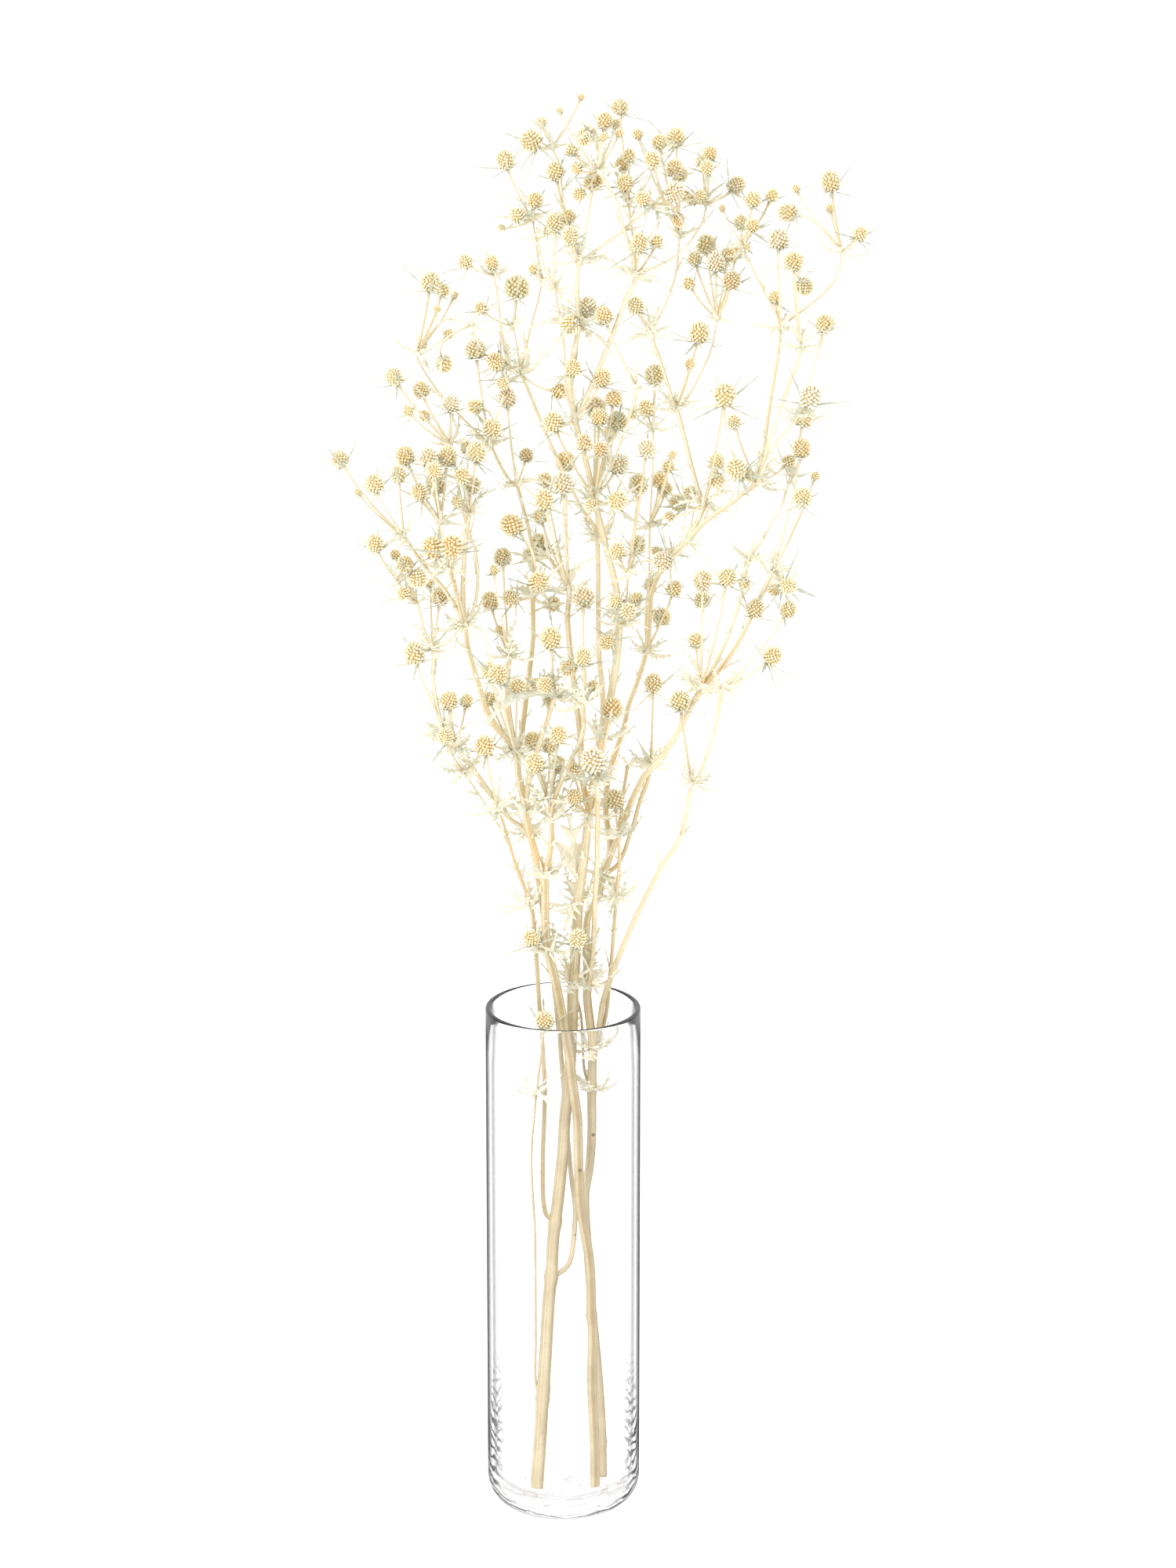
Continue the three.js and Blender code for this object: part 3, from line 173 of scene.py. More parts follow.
def centre_stem():
    return shoot(3.4, [[-14.2, 12.4, -16], [-12.4, 32, -14], [-10.9, 58, -12]],
      [], [],
      shoot(0.6, [[-14.3, 64, -12], [-14.5, 93, -13], [-14.7, 150, -14], [-16.4, 193, -14],
        [-13.8, 229, -13]],
        [[-9.5, 268, -14, 9]], []),
      shoot(3.3, [[-9.5, 80, -10], [-7.8, 111, -7], [-6.4, 126, -6]],
        [], [],
        centre_left_shoot(),
        shoot(3.2, [[-5.3, 147, -4], [-4.2, 157, -3.5]],
          [], [],
          shoot(1.1, [[-9.4, 163, -5], [-10.6, 188, -7], [-9.4, 230, -6], [-10.5, 250, -5], [-12, 273, -4],
            [-13.5, 300, -3], [-14.7, 318, -3], [-16.5, 331, -3]],
            [], [[-22, 336, -4, 2.5]],
            shoot(0.7, [[-23.5, 350, -6], [-28, 367, -12], [-33, 383, -20]],
              [[-39.5, 415.5, -28, 9.5]], []),
            shoot(0.6, [[-21, 345, 2], [-30, 368, -4], [-43, 390, -14], [-51, 402.5, -22]],
              [[-59.5, 420.5, -38, 8]], [[-58, 406, -24, 1.5]])),
          shoot(2.9, [[-2.6, 171, -2], [-0.1, 197, 0], [0.9, 214, 1], [2.5, 231, 2], [4, 248, 2],
            [4.8, 268, 3], [5, 281, 3], [5.5, 291, 3]],
            [[7.5, 312, -12, 9]], [],
            shoot(2.6, [[7, 312, 3], [8, 333, 2]],
              [], [[-6, 366, 8, 12], [3, 378, -8, 12], [1, 317, -5, 6]],
              shoot(2.2, [[10.5, 352, 1], [13.5, 380, -1]],
                [[5.5, 402, -20, 8.5], [6, 388, -12, 8]], [[9, 371, -6, 3.5]],
                shoot(1.4, [[10, 398, 6], [9, 420, 10], [5.5, 450, 9], [2.5, 482, 7], [3, 499, 6]],
                  [[0, 552, -4, 10.5], [1.5, 563, 10, 9.5], [-8.5, 553.5, 18, 7], [-9, 543.5, 2, 9.5],
                    [-11, 535, -6, 7]],
                  [[17, 514, 2, 5], [2, 510, 2, 4]],
                  shoot(0.8, [[-3, 508, 8], [-7.5, 515.5, 10]], [[-11, 521, 16, 9],
                    [-16, 515, 18, 7.5]], [])),
                shoot(2.1, [[19.5, 420, -2]], [], [],
                  centre_back_crown(),
                  shoot(1.9, [[25, 445, -4], [28, 468, -4], [28.5, 480, -4]],
                    [[27, 491, -14, 6.5], [33, 486, -16, 7.5], [37, 492, 4, 6.5], [22.5, 470, -16, 8]],
                    [[36, 476, -8, 3.5]],
                    shoot(0.6, [[32, 492, -9], [33, 506, -12]],
                      [[28, 517, -16, 8], [37.5, 520, 0, 8.5], [38, 551, 4, 9.5], [42, 570, -8, 9]],
                      [[27, 510, -12, 2.5], [38, 504, -10, 3]]),
                    centre_middle_fork()))))))))

# The stem that crosses in front of it: the left side of the bunch

def left_upper_crown():
    return shoot(0.95, [[-14.5, 505, 1], [-15, 518, 3], [-17.5, 531, 4], [-20, 541, 5], [-23, 551.5, 6]],
      [[-27.5, 595.5, 8, 9], [-18, 566.5, 14, 6.5]], [[-10, 552, 6, 3.5], [-30, 549, 4, 2]],
      shoot(0.8, [[-26, 553.5, 6], [-31, 561.5, 3], [-36, 572, 0]],
        [[-35, 580.5, -8, 9], [-43, 591.5, -10, 7, [-1, 0.2]], [-43, 620.5, 2, 9.5]], [],
        shoot(0.5, [[-41, 577, 0], [-50, 586, 0], [-60, 597, 0], [-70, 612, 0], [-72, 619, 0]],
          [[-65.2, 654.5, -6, 9.5], [-59, 650.5, 6, 5.5], [-53.3, 648, 10, 3.5], [-62, 641, -2, 3],
            [-56.6, 628.2, 2, 4.5]],
          [[-66, 608, 0, 2.5], [-72, 630, 0, 2]],
          shoot(0.4, [[-66, 628, -2], [-57, 636, -4], [-45, 633.5, -6]],
            [[-59, 613.5, -10, 7.5, [0.4, -1]]], []))))


def left_high_cluster():
    return shoot(0.8, [[-59, 518, -36], [-62, 526, -34], [-61, 533, -34]],
      [[-78.5, 566, -30, 9], [-67, 565, -40, 9.5], [-57.5, 565.5, -30, 9.5], [-64, 558.5, -48, 8],
        [-63, 551.5, -36, 10], [-71.5, 547.5, -42, 8]], [])


def left_outer_fork():
    return shoot(1.4, [[-32.5, 424, -20], [-38.5, 434.5, -22], [-43, 449.5, -24], [-47.5, 466, -26],
      [-49.5, 480, -28]],
      [], [[-57, 476, -32, 2], [-54, 467, -30, 2], [-38, 468, -26, 2]],
      shoot(1.2, [[-50, 500, -29], [-48.5, 522, -30], [-46.5, 538, -30]],
        [[-43, 568, -34, 9.5], [-50, 556, -42, 7.5], [-45.5, 551.5, -38, 8.5], [-47.5, 570.5, -24, 6.5],
          [-53, 543, -40, 4.5]],
        [[-33, 549, -28, 4]]),
      shoot(1, [[-59, 497, -36], [-69.5, 510, -42], [-79.5, 525, -46]],
        [[-94, 552, -56, 9], [-82, 556.5, -42, 7.5], [-102.5, 548, -60, 3], [-111, 564.5, -50, 8.5]],
        [[-89, 528, -48, 2], [-77, 520, -46, 2], [-76, 531, -44, 2]]),
      shoot(1.3, [[-52, 490, -33], [-54.5, 501, -38], [-57, 509, -42]],
        [[-65, 519, -50, 10.5], [-55.5, 519.5, -48, 11]], [],
        left_high_cluster()),
      shoot(0.8, [[-44.5, 488, -24], [-42.5, 504, -20], [-43.5, 516, -18], [-46.5, 526, -17],
        [-50, 540, -17],
        [-53, 558, -18], [-55.5, 573, -20]],
        [[-55.5, 593, -24, 8.5], [-70.2, 600, -14, 8], [-83.5, 606.5, -22, 8.5], [-76.7, 589.5, -30, 5],
          [-68.5, 586.7, -20, 5]], []))


def left_middle_fork():
    return shoot(1.7, [[-21, 392, -14], [-22.5, 400, -15], [-24, 413, -16]],
      [[-37, 455, -36, 8.5], [-32.5, 453, -42, 9], [-37, 440.5, -34, 6], [-23, 446.5, -28, 7.5]],
      [[-33, 408, -22, 5], [-16, 405, -20, 4], [-31, 425, -22, 4], [-17, 422, -12, 4]],
      left_outer_fork(),
      shoot(1.4, [[-27, 430, -16], [-28, 447, -12], [-27, 463, -10]],
        [[-30, 514, 6, 8.5], [-36.5, 491, -10, 8.5], [-31.5, 476, -4, 4.5], [-34.5, 507.5, -6, 4.5]],
        [[-38, 477, -12, 7], [-23, 481, -8, 6], [-21, 469, -10, 5], [-18, 458, -12, 4]]),
      shoot(1.3, [[-21, 420, -12], [-20, 428, -9], [-18, 445, -5], [-15, 472, -2], [-15, 495, 0]],
        [[-12, 501.5, -12, 9.5], [-26, 493, -12, 8], [-5, 490, 14, 7.5],
          [-25, 530.5, -20, 10.5, [-0.7, 0.7]]],
        [[-26, 498, -6, 4], [-6, 497, -6, 4]],
        left_upper_crown()))


def left_near_shoot():
    return shoot(1.2, [[-17, 398, -20], [-14, 408.5, -24], [-10.5, 421, -22], [-7, 431.5, -20],
                 [-4, 442, -20]],
      [[-8, 447.5, -28, 8, [-1, 0.1]], [-7, 440, -14, 6, [-0.2, -1]], [-6, 471.5, -24, 10.5],
        [-13.5, 448, 2, 6]],
      [[-8, 454, -26, 3], [-37, 427, -34, 2.5], [2, 437, -22, 2]])


def left_front_fork():
    return shoot(1.3, [[-6, 362, -14], [-5.5, 377, -18]],
      [], [],
      shoot(1.2, [[-4, 388, -20], [0, 398, -22], [4.5, 408.5, -25], [8.5, 416.5, -27], [10.5, 424, -28],
        [10.5, 438, -30]],
        [[10.5, 461.5, -34, 8.5], [3.5, 457, -40, 8, [-0.8, -0.5]], [10.5, 493, -26, 10.5],
          [15.5, 447, -24, 5]],
        [[-1, 446, -34, 2.5], [14, 446, -36, 2]]),
      shoot(0.8, [[-7.5, 388, -20]],
        [[-2, 421, -36, 8.5], [-6.5, 415.5, -32, 8], [-2.5, 405.5, -28, 7], [-14, 406, -30, 9.5],
          [-15, 417.5, -26, 8.5]],
        [[-15, 386, -22, 6]]))


def left_stem():
    return shoot(2.6, [[16.6, 12.4, -14], [16.3, 32, -13], [14.8, 68, -12], [15.3, 93, -11],
                 [14.7, 105, -10]],
      [], [],
      shoot(2.4, [[13.6, 135, -9], [9.2, 165, -8], [8, 188, -7], [7.4, 214, -6], [5.3, 231, -5.5],
        [3.3, 248, -5.5], [0.8, 261, -6], [-0.8, 273, -6.5], [-4, 290, -7.5], [-7.5, 306, -9]],
        [[-16, 312.5, -16, 8.5]], [[-8, 322, -12, 6], [-1, 306, -12, 3], [2, 302, -12, 2.5]],
        shoot(2, [[-9, 320, -9], [-9, 335, -9], [-9.5, 346, -9]],
          [], [[-2, 350, -12, 6], [-14, 349, -12, 4]],
          left_front_fork(),
          shoot(1.8, [[-13, 355, -10], [-16, 366, -11], [-19, 381, -12]],
            [], [],
            left_near_shoot(),
            left_middle_fork()))))

# The stem at the right of the foot: the right side of the bunch

def right_front_shoot():
    return shoot(1.2, [[15, 301, -2], [16, 318, -6], [16.5, 335, -9], [17.5, 355, -12], [17.5, 365, -14],
      [17.8, 385, -22], [17, 399, -28]],
      [[15.5, 407, -32, 12], [25, 434.5, -30, 10.5]], [[27, 396, -24, 6]])


def right_low_fork():
    return shoot(1.5, [[29, 370, 14], [32, 378.5, 12], [41, 398.5, 6], [50, 409, 2], [59, 424, -2],
      [70, 445, -6]],
      [[70.5, 491.5, 12, 8], [70.5, 502, 2, 9], [67.5, 470.5, 2, 7.5], [97, 487, -16, 9],
        [83, 503.5, -14, 9]],
      [[57, 452, -6, 11], [60, 441, -10, 7], [63, 463, 0, 5], [76, 457, -10, 4]],
      shoot(1.1, [[80, 456, -8], [90, 472, -10], [99, 492.5, -12], [106.5, 508, -14]],
        [[120.5, 545, -20, 9], [119.5, 569.5, -26, 9], [113.5, 499.5, -26, 8.5],
          [107, 497.5, -18, 6, [-1, 0]],
          [126.5, 555.5, -10, 4]],
        [[114, 509, -20, 3], [104.5, 520, -14, 2.5], [107.5, 517, -18, 2.5]]),
      shoot(0.9, [[77, 458, -4], [83.5, 473, -2], [89.5, 492, 0], [94.5, 514.5, 0]],
        [[91.5, 501, -6, 5.5, [0, -1]]], [[90.5, 503, -4, 4], [103, 505, -6, 3.5]],
        shoot(0.55, [[100, 522, 2], [106, 534, 4], [110.5, 542, 6], [113, 551, 7], [114, 557, 8]],
          [[120.5, 585.5, 8, 9]], [])))


def right_upper_fork():
    return shoot(1.3, [[67, 531, 4], [71, 541.5, 6]],
      [[77, 563, 12, 8], [77.5, 554, 0, 7.5, [0, -1]], [58.5, 542, 18, 8.5], [54, 535.5, 8, 4.5],
        [64, 547, 14, 6], [81, 597, -12, 11]],
      [[64, 551, 10, 7], [85, 548, 2, 5], [56, 540, 6, 3], [78, 532, 2, 3]],
      shoot(1.1, [[69, 546, 7], [65, 560, 8], [60, 580, 8], [57, 591, 8]],
        [[68, 628.5, 0, 10], [63.5, 613, 6, 4.5]], [[49, 593, 4, 3], [60, 603, 10, 3], [66, 590, 2, 2]],
        shoot(0.9, [[55, 595, 7], [52.5, 603, 6], [48.5, 616, 5], [45, 627.5, 4]],
          [[36.7, 642.5, 0, 8]], [[48, 641, 6, 3.5], [32, 624, -2, 3.5]],
          shoot(0.6, [[49, 639, 5], [53, 648, 7], [56.5, 660, 9], [58, 678, 10]],
            [[55.5, 711, 4, 8.5], [58, 708.5, 14, 7], [56, 726, 8, 9.5], [48, 724, 16, 7],
              [44.5, 715.5, 2, 7.5],
              [37.5, 728, 6, 4.5]], [])),
        shoot(0.5, [[61, 594, 9], [68.5, 607.5, 10], [74.5, 622, 10], [77, 636, 10]],
          [[76, 664, 4, 9], [65.7, 666, 14, 6.5], [71.5, 673, 16, 9.5], [82, 668, 8, 7],
            [86.5, 669, 18, 5.5],
            [84, 655, -2, 8.5], [63, 653.5, 8, 5.5]], [])))


def right_far_fork():
    return shoot(1.4, [[71, 532, 0], [83, 541, -3], [90, 546.5, -5], [97.5, 552.5, -6]],
      [[87, 559.5, -16, 10], [93, 556.5, -2, 5.5], [85.7, 583.5, -2, 6.5], [113, 563, 2, 6.5]],
      [[95, 571, -8, 5], [104, 551, -10, 2]],
      shoot(1.1, [[99, 557, -6], [101, 572, -7], [104, 596, -8], [107, 616.5, -9], [108.5, 632, -10]],
        [[107, 675.5, -14, 10], [105.7, 646.5, -2, 6]], [[102, 625, -14, 2.5]],
        shoot(0.5, [[107, 637, -8], [100.5, 649, -4], [93, 664, 0], [89.5, 673, 2]],
          [[91.5, 672, 0, 3], [88.5, 684, 8, 6.5], [94, 682.5, -4, 6.5], [94, 695.5, 0, 7.5],
            [103.5, 697.5, -4, 5.5], [79, 691.5, 4, 3]], []),
        shoot(0.5, [[118.5, 639.5, -13], [131, 650, -17], [136.5, 658, -20], [138.5, 669.5, -22]],
          [[132.5, 704, -26, 9.5], [132.3, 691, -20, 4], [147.5, 678.5, -28, 6.5],
            [112, 689, -18, 9, [-1, 0.2]], [115.5, 701, -14, 3.5]], [])),
      shoot(1, [[100.5, 560, -10], [103, 572, -13], [110.5, 596, -18], [118, 617, -21], [119, 622, -22]],
        [[114.5, 664.5, -26, 9], [120, 652.5, -32, 8, [0.5, -0.9]]],
        [[113, 632, -26, 4], [122, 632, -20, 3], [127, 628, -26, 3]]),
      shoot(0.8, [[99, 556, -12], [105.5, 571, -20], [115.5, 583, -28], [118, 588, -31]],
        [[123.5, 596.5, -36, 11], [130.5, 633, -16, 9]], []))


def right_middle_fork():
    return shoot(1.4, [[24, 361, 16], [22, 380, 17], [23, 398, 18], [25, 406, 18], [31, 425, 16],
      [33.5, 437, 15], [38, 450, 14], [42.5, 466, 12]],
      [[50, 483, 18, 8.5], [44, 500, 24, 6], [56, 497.5, 10, 7.5]], [],
      shoot(1.35, [[44, 484, 12], [45, 496, 10], [50, 508, 6], [56, 516, 4], [63, 522.5, 2]],
        [[50.5, 512, -8, 9.5], [54, 516, 12, 5.5], [47.5, 517.5, 16, 4.5]], [],
        right_upper_fork(),
        right_far_fork()),
      shoot(0.6, [[42, 484, 18], [43.5, 504, 20], [44, 531, 20]],
        [[49, 553.5, 24, 7.5], [52, 549, 28, 6], [53, 561, 16, 5.5], [55, 567, 22, 3.5]],
        [[54, 530, 18, 2.5]],
        shoot(0.5, [[45.5, 565, 20], [45.5, 580, 20]],
          [[46, 607.5, 24, 9.5], [42, 590.5, 14, 7.5]], [])))


def right_stem():
    return shoot(2.4, [[20.8, 12.4, 2], [20.5, 33, 3], [19.7, 51, 3], [18, 75, 4], [15, 110, 5],
                 [13, 140, 6],
      [11.3, 171, 6], [13.7, 188, 5], [14.9, 206, 5], [14.9, 231, 5]],
      [], [],
      shoot(0.7, [[11.3, 240, 7], [10.3, 257, 8], [9, 273, 8], [7, 280, 9]], [], [[7, 262, 6, 4]]),
      shoot(2.3, [[15.3, 243, 5], [15.8, 252, 5]],
        [], [[21, 262, 2, 5]],
        shoot(1.3, [[18.5, 264, 4], [20.5, 278, 2], [24.5, 291, 0], [29.5, 305, -2], [37, 323, -5],
          [50, 350, -10], [60, 367, -13], [66, 395, -18]],
          [[59.5, 438.5, -10, 10]], [[61, 403, -20, 5], [66, 399, -24, 3], [70, 398, -16, 3]],
          shoot(0.8, [[69.5, 400, -19], [72, 407.5, -21], [76.5, 421, -23], [79, 433.5, -25],
            [81.5, 446, -26]],
            [[106, 462.5, -34, 9], [113.5, 486.5, -28, 8]], [[87, 438, -30, 3], [88, 451, -26, 2]])),
        shoot(1, [[21.5, 268, 8], [24.5, 295, 8], [26, 315, 8], [27.5, 335, 8]],
          [], [[22, 337, 4, 4.5], [24, 324, 4, 3.5], [29.5, 348, 6, 4.5]],
          shoot(0.9, [[29, 355, 8], [28.5, 368, 6]], [[26.5, 386.5, 4, 9.5]], [])),
        shoot(2.2, [[14, 266, 5], [12.4, 282, 5], [13, 288, 5]],
          [], [[17, 301, -2, 6], [18.5, 281, 4, 2.5], [19, 318, 10, 4]],
          right_front_shoot(),
          shoot(1.7, [[12, 308, 6], [13, 325, 9], [18, 335, 12], [21, 347, 15]],
            [], [[24, 357, 8, 5]],
            right_low_fork(),
            right_middle_fork(),
            shoot(1, [[28.5, 353, 18], [35.5, 372, 20], [39, 385, 20], [43, 396, 20], [45, 406, 20]],
              [[46, 448, 14, 9]], [[40, 411, 16, 3], [37, 409, 18, 2.5], [52, 415, 18, 3]]),
            shoot(0.9, [[29, 375, 22], [31, 391, 25], [33, 405, 26]],
              [], [[40, 408, 24, 7], [27, 411, 22, 5]])))))


# Where the heads stand, found again by the same rule as in the part's source

def seen(spot):
    """The point at depth y that the viewer sees at x, z of the plane y = 0."""
    x, z, y = spot
    reach = 1 - y / EYE[1]
    return numpy.array([x * reach, y, EYE[2] + reach * (z - EYE[2])])


def unit(way):
    return way / numpy.linalg.norm(way)


# The straight pieces placed so far, with room for all of them
MOST_PLACED = 4000
placed = []
placed_ends = numpy.zeros((MOST_PLACED, 2, 3))
placed_reach = numpy.zeros(MOST_PLACED)


def place(stem, start, end, reach, joint):
    placed_ends[len(placed)] = start, end
    placed_reach[len(placed)] = reach
    placed.append((stem, joint, end))


def gaps_squared(start, end):
    """The squared distance of a straight piece from every one placed so far."""
    others, other_ends = placed_ends[:len(placed), 0], placed_ends[:len(placed), 1]
    along, way, between = other_ends - others, end - start, others - start
    along_squared = numpy.maximum((along * along).sum(1), TINY)
    way_squared = max(way @ way, TINY)
    along_way, along_between, way_between = along @ way, (along * between).sum(1), between @ way
    spread = along_squared * way_squared - along_way * along_way
    crossing = (along_way * way_between - along_between * way_squared) / numpy.maximum(spread, TINY)
    share = numpy.where(spread > TINY, numpy.clip(crossing, 0, 1), 0)
    own_share = (along_way * share + way_between) / way_squared
    near_start = numpy.clip(-along_between / along_squared, 0, 1)
    near_end = numpy.clip((along_way - along_between) / along_squared, 0, 1)
    share = numpy.where(own_share < 0, near_start, numpy.where(own_share > 1, near_end, share))
    own_share = numpy.clip(own_share, 0, 1)
    apart = others + along * share[:, None] - start - way * own_share[:, None]
    return (apart * apart).sum(1)


def is_clear(stem, start, end, reach, joint):
    """Other stems keep their distance, and a stem's own pieces do too where a joint is given."""
    own = numpy.array([piece[0] == stem for piece in placed])
    gap = reach + placed_reach[:len(placed)] + numpy.where(own, 0, CLEARANCE)
    for near in numpy.flatnonzero(gaps_squared(start, end) <= gap * gap):
        other_joint, other_end = placed[near][1:]
        if not (own[near] and (joint is None or other_joint is joint or other_end is joint)):
            return False
    return True


def without_straight_points(points):
    kept = [points[0]]
    for point, after in zip(points[1:-1], points[2:]):
        line = after - kept[-1]
        share = min(max((point - kept[-1]) @ line / (line @ line), 0), 1)
        if numpy.linalg.norm(kept[-1] + share * line - point) > LEAST_BEND:
            kept.append(point)
    return [*kept, points[-1]]


def plan_shoots(stem, growth, start=None, start_girth=0):
    """The shoots of one stem in a flat list, each with its line of points."""
    tips = [seen(spot) for spot in growth["route"]]
    if start is None:
        tips[0][2] = FLOOR_THICKNESS + SEAT_GAP
    points = tips if start is None else [start, *tips]
    bends = without_straight_points(points)
    girth = growth["girth"]
    base = girth if start is None else min(start_girth, girth * BASE_SWELL)
    for before, after in zip(bends, bends[1:]):
        place(stem, before, after, base, before)
    following = [plan_shoots(stem, one, points[-1], girth) for one in growth["shoots"]]
    own = {"points": points, "base": base, "girth": girth, "fork": points[-1],
           "heads": growth["heads"], "leaves": growth["leaves"], "next": [flat[0] for flat in following]}
    return [own, *(one for flat in following for one in flat)]


def head_at(fork, listed, shift):
    """A head looks away from its fork and a little upward, unless the way it faces is given."""
    x, z, y, width = listed[:4]
    centre = seen([x, z, y + shift])
    axis = unit(unit(centre - fork) + UPWARD * UP)
    if len(listed) > 4:
        axis = unit(numpy.array([listed[4][0], 0, listed[4][1]]))
    foot = centre - HEAD_BASE * width * axis
    crown = centre + (HEAD_HEIGHT - HEAD_BASE) * width * axis
    inset = BODY_INSET * width * axis
    body = foot + inset, crown - inset
    length = numpy.linalg.norm(foot - fork)
    control = foot - STALK_BEND * length * axis
    stalk = [fork, fork + STALK_NECK * unit(control - fork)]
    if length > LONG_STALK:
        stalk.append((fork + 2 * control + foot) / 4)
    stalk.append(foot)
    return {"width": width, "axis": axis, "foot": foot, "body": body, "stalk": stalk,
            "control": control, "spot": (x, z)}


def head_is_clear(stem, head, own_too):
    stalk = head["stalk"]
    joint = stalk[0] if own_too else None
    return is_clear(stem, *head["body"], BODY_REACH * head["width"], joint) and all(
        is_clear(stem, start, end, STALK_GIRTH, joint if index else None)
        for index, (start, end) in enumerate(zip(stalk, stalk[1:])))


def plan_head(stem, fork, listed):
    """A head moves nearer or farther until nothing runs through it or its stalk."""
    shifts = [(index + 1) // 2 * (1 if index % 2 else -1) for index in range(DEPTH_TRIES)]
    choices = [head_at(fork, listed, DEPTH_STEP * shift) for shift in shifts]
    clear = (choice for own_too in (True, False) for choice in choices
             if head_is_clear(stem, choice, own_too))
    head = next(clear, choices[0])
    stalk = head["stalk"]
    for index, (start, end) in enumerate(zip(stalk, stalk[1:])):
        place(stem, start, end, STALK_GIRTH, head["foot"] if index else fork)
    place(stem, *head["body"], BODY_REACH * head["width"], head["foot"])
    return head


# Shapes, each grown from a first face

def drawn_out(shape, face, move):
    """Pulls a face out into a new ring and returns the face at its far end."""
    made = bmesh.ops.extrude_face_region(shape, geom=[face, *face.edges])["geom"]
    ring = [part for part in made if isinstance(part, bmesh.types.BMVert)]
    bmesh.ops.transform(shape, matrix=move, verts=ring)
    return next(part for part in made if isinstance(part, bmesh.types.BMFace))


def shape_mesh(name, shape):
    bmesh.ops.recalc_face_normals(shape, faces=shape.faces[:])
    mesh = bpy.data.meshes.new(name)
    shape.to_mesh(mesh)
    shape.free()
    return mesh


def new_shape():
    shape = bmesh.new()
    shape.verts.layers.float.new("tip")
    shape.verts.layers.float.new("streak")
    shape.verts.layers.float_color.new("tint")
    return shape


def add(bunch, mesh, move, tint=None):
    """Adds a copy of a mesh to a bunch, moved, and tinted all over."""
    copy = mesh.copy()
    copy.transform(move)
    if tint is not None:
        tints = numpy.tile([*tint, 1.0], len(copy.vertices))
        copy.attributes["tint"].data.foreach_set("color", tints)
    bunch.from_mesh(copy)
    bpy.data.meshes.remove(copy)


def stretched(across, thick, length):
    return Matrix.Diagonal((across, thick, length, 1))


def pointing(start, way, roll):
    """Sets a shape that grows along +Z on a start point, growing along a way and rolled about it."""
    turn = Vector(way).to_track_quat("Z", "Y").to_matrix().to_4x4()
    return Matrix.Translation(start) @ turn @ Matrix.Rotation(roll, 4, "Z")


def any_turn():
    return chance.uniform(0, 6.3)


def spread_turn(index, count, shake):
    """The turn of one of several blades set evenly round a stalk, shaken by a share of their gap."""
    return Matrix.Rotation(2 * math.pi * (index + chance.uniform(-shake, shake)) / count, 4, "Z")


def leaning(least, most):
    """A lean out from the stalk by a random angle, in degrees."""
    return Matrix.Rotation(-math.radians(chance.uniform(least, most)), 4, "X")


def tube(path, sides, ribs=0.0):
    """A closed round stem along (point, half thickness) pairs, each ring turned as little as can be."""
    shape = new_shape()
    streak = shape.verts.layers.float["streak"]
    bmesh.ops.create_circle(shape, cap_ends=True, segments=sides, radius=1)
    for index, vert in enumerate(shape.verts):
        vert[streak] = chance.random()
        vert.co *= 1 - ribs * (index % 2)
    way = path[1][0] - path[0][0]
    turn = way.to_track_quat("Z", "Y")
    now = Matrix.Translation(path[0][0]) @ turn.to_matrix().to_4x4() @ Matrix.Scale(path[0][1], 4)
    bmesh.ops.transform(shape, matrix=now, verts=shape.verts[:])
    shape.faces.ensure_lookup_table()
    top = shape.faces[0]
    for index in range(1, len(path)):
        point, radius = path[index]
        onward = path[min(index + 1, len(path) - 1)][0] - path[index - 1][0]
        turn = way.rotation_difference(onward) @ turn
        way = onward
        then = Matrix.Translation(point) @ turn.to_matrix().to_4x4() @ Matrix.Scale(radius, 4)
        top = drawn_out(shape, top, then @ now.inverted())
        now = then
    return shape_mesh("tube", shape)


# How far a knot swells a shoot along its length, and how much farther for each millimetre of the
# shoot's half thickness
KNOT_REACH = 1
KNOT_GROWTH = 0.5


def smooth_path(points, radii, knots, step, knob):
    """A flowing line through the points, with its half thickness, swollen at its knots."""
    points = [Vector(point) for point in points]
    neighbours = zip([points[0], *points], [*points[1:], points[-1]])
    ways = [(after - before).normalized() for before, after in neighbours]
    path = []
    for i in range(len(points) - 1):
        start, end = points[i], points[i + 1]
        reach = (end - start).length / 3
        count = max(2, math.ceil((end - start).length / step))
        line = interpolate_bezier(start, start + ways[i] * reach, end - ways[i + 1] * reach, end, count + 1)
        for index, point in enumerate(line[:-1]):
            path.append((point, radii[i] + (radii[i + 1] - radii[i]) * index / count))
    path.append((points[-1], radii[-1]))
    swollen = []
    for point, radius in path:
        near = min((point - Vector(knot)).length for knot in knots)
        swell = knob * math.exp(-(near / (KNOT_REACH + KNOT_GROWTH * radius)) ** 2)
        swollen.append((point, radius + swell))
    return swollen


# The templates of the small parts, one unit wide or long, growing along +Z

# A floret's foot, then the rise, the growth and the nearness to the tip of each ring above it
FLORET_FOOT = 0.6
FLORET_RINGS = ((0.8, 1.6, 0.5), (1.5, 0.16, 1.0))


def floret_mesh():
    """A five-sided bud, narrow at its foot, full in the middle and drawn to a point."""
    bud = new_shape()
    tip = bud.verts.layers.float["tip"]
    bmesh.ops.create_circle(bud, cap_ends=True, segments=5, radius=FLORET_FOOT)
    bud.faces.ensure_lookup_table()
    top = bud.faces[0]
    for rise, grow, value in FLORET_RINGS:
        top = drawn_out(bud, top, Matrix.Translation((0, 0, rise)) @ stretched(grow, grow, 1))
        for vert in top.verts:
            vert[tip] = value
    return shape_mesh("floret", bud)


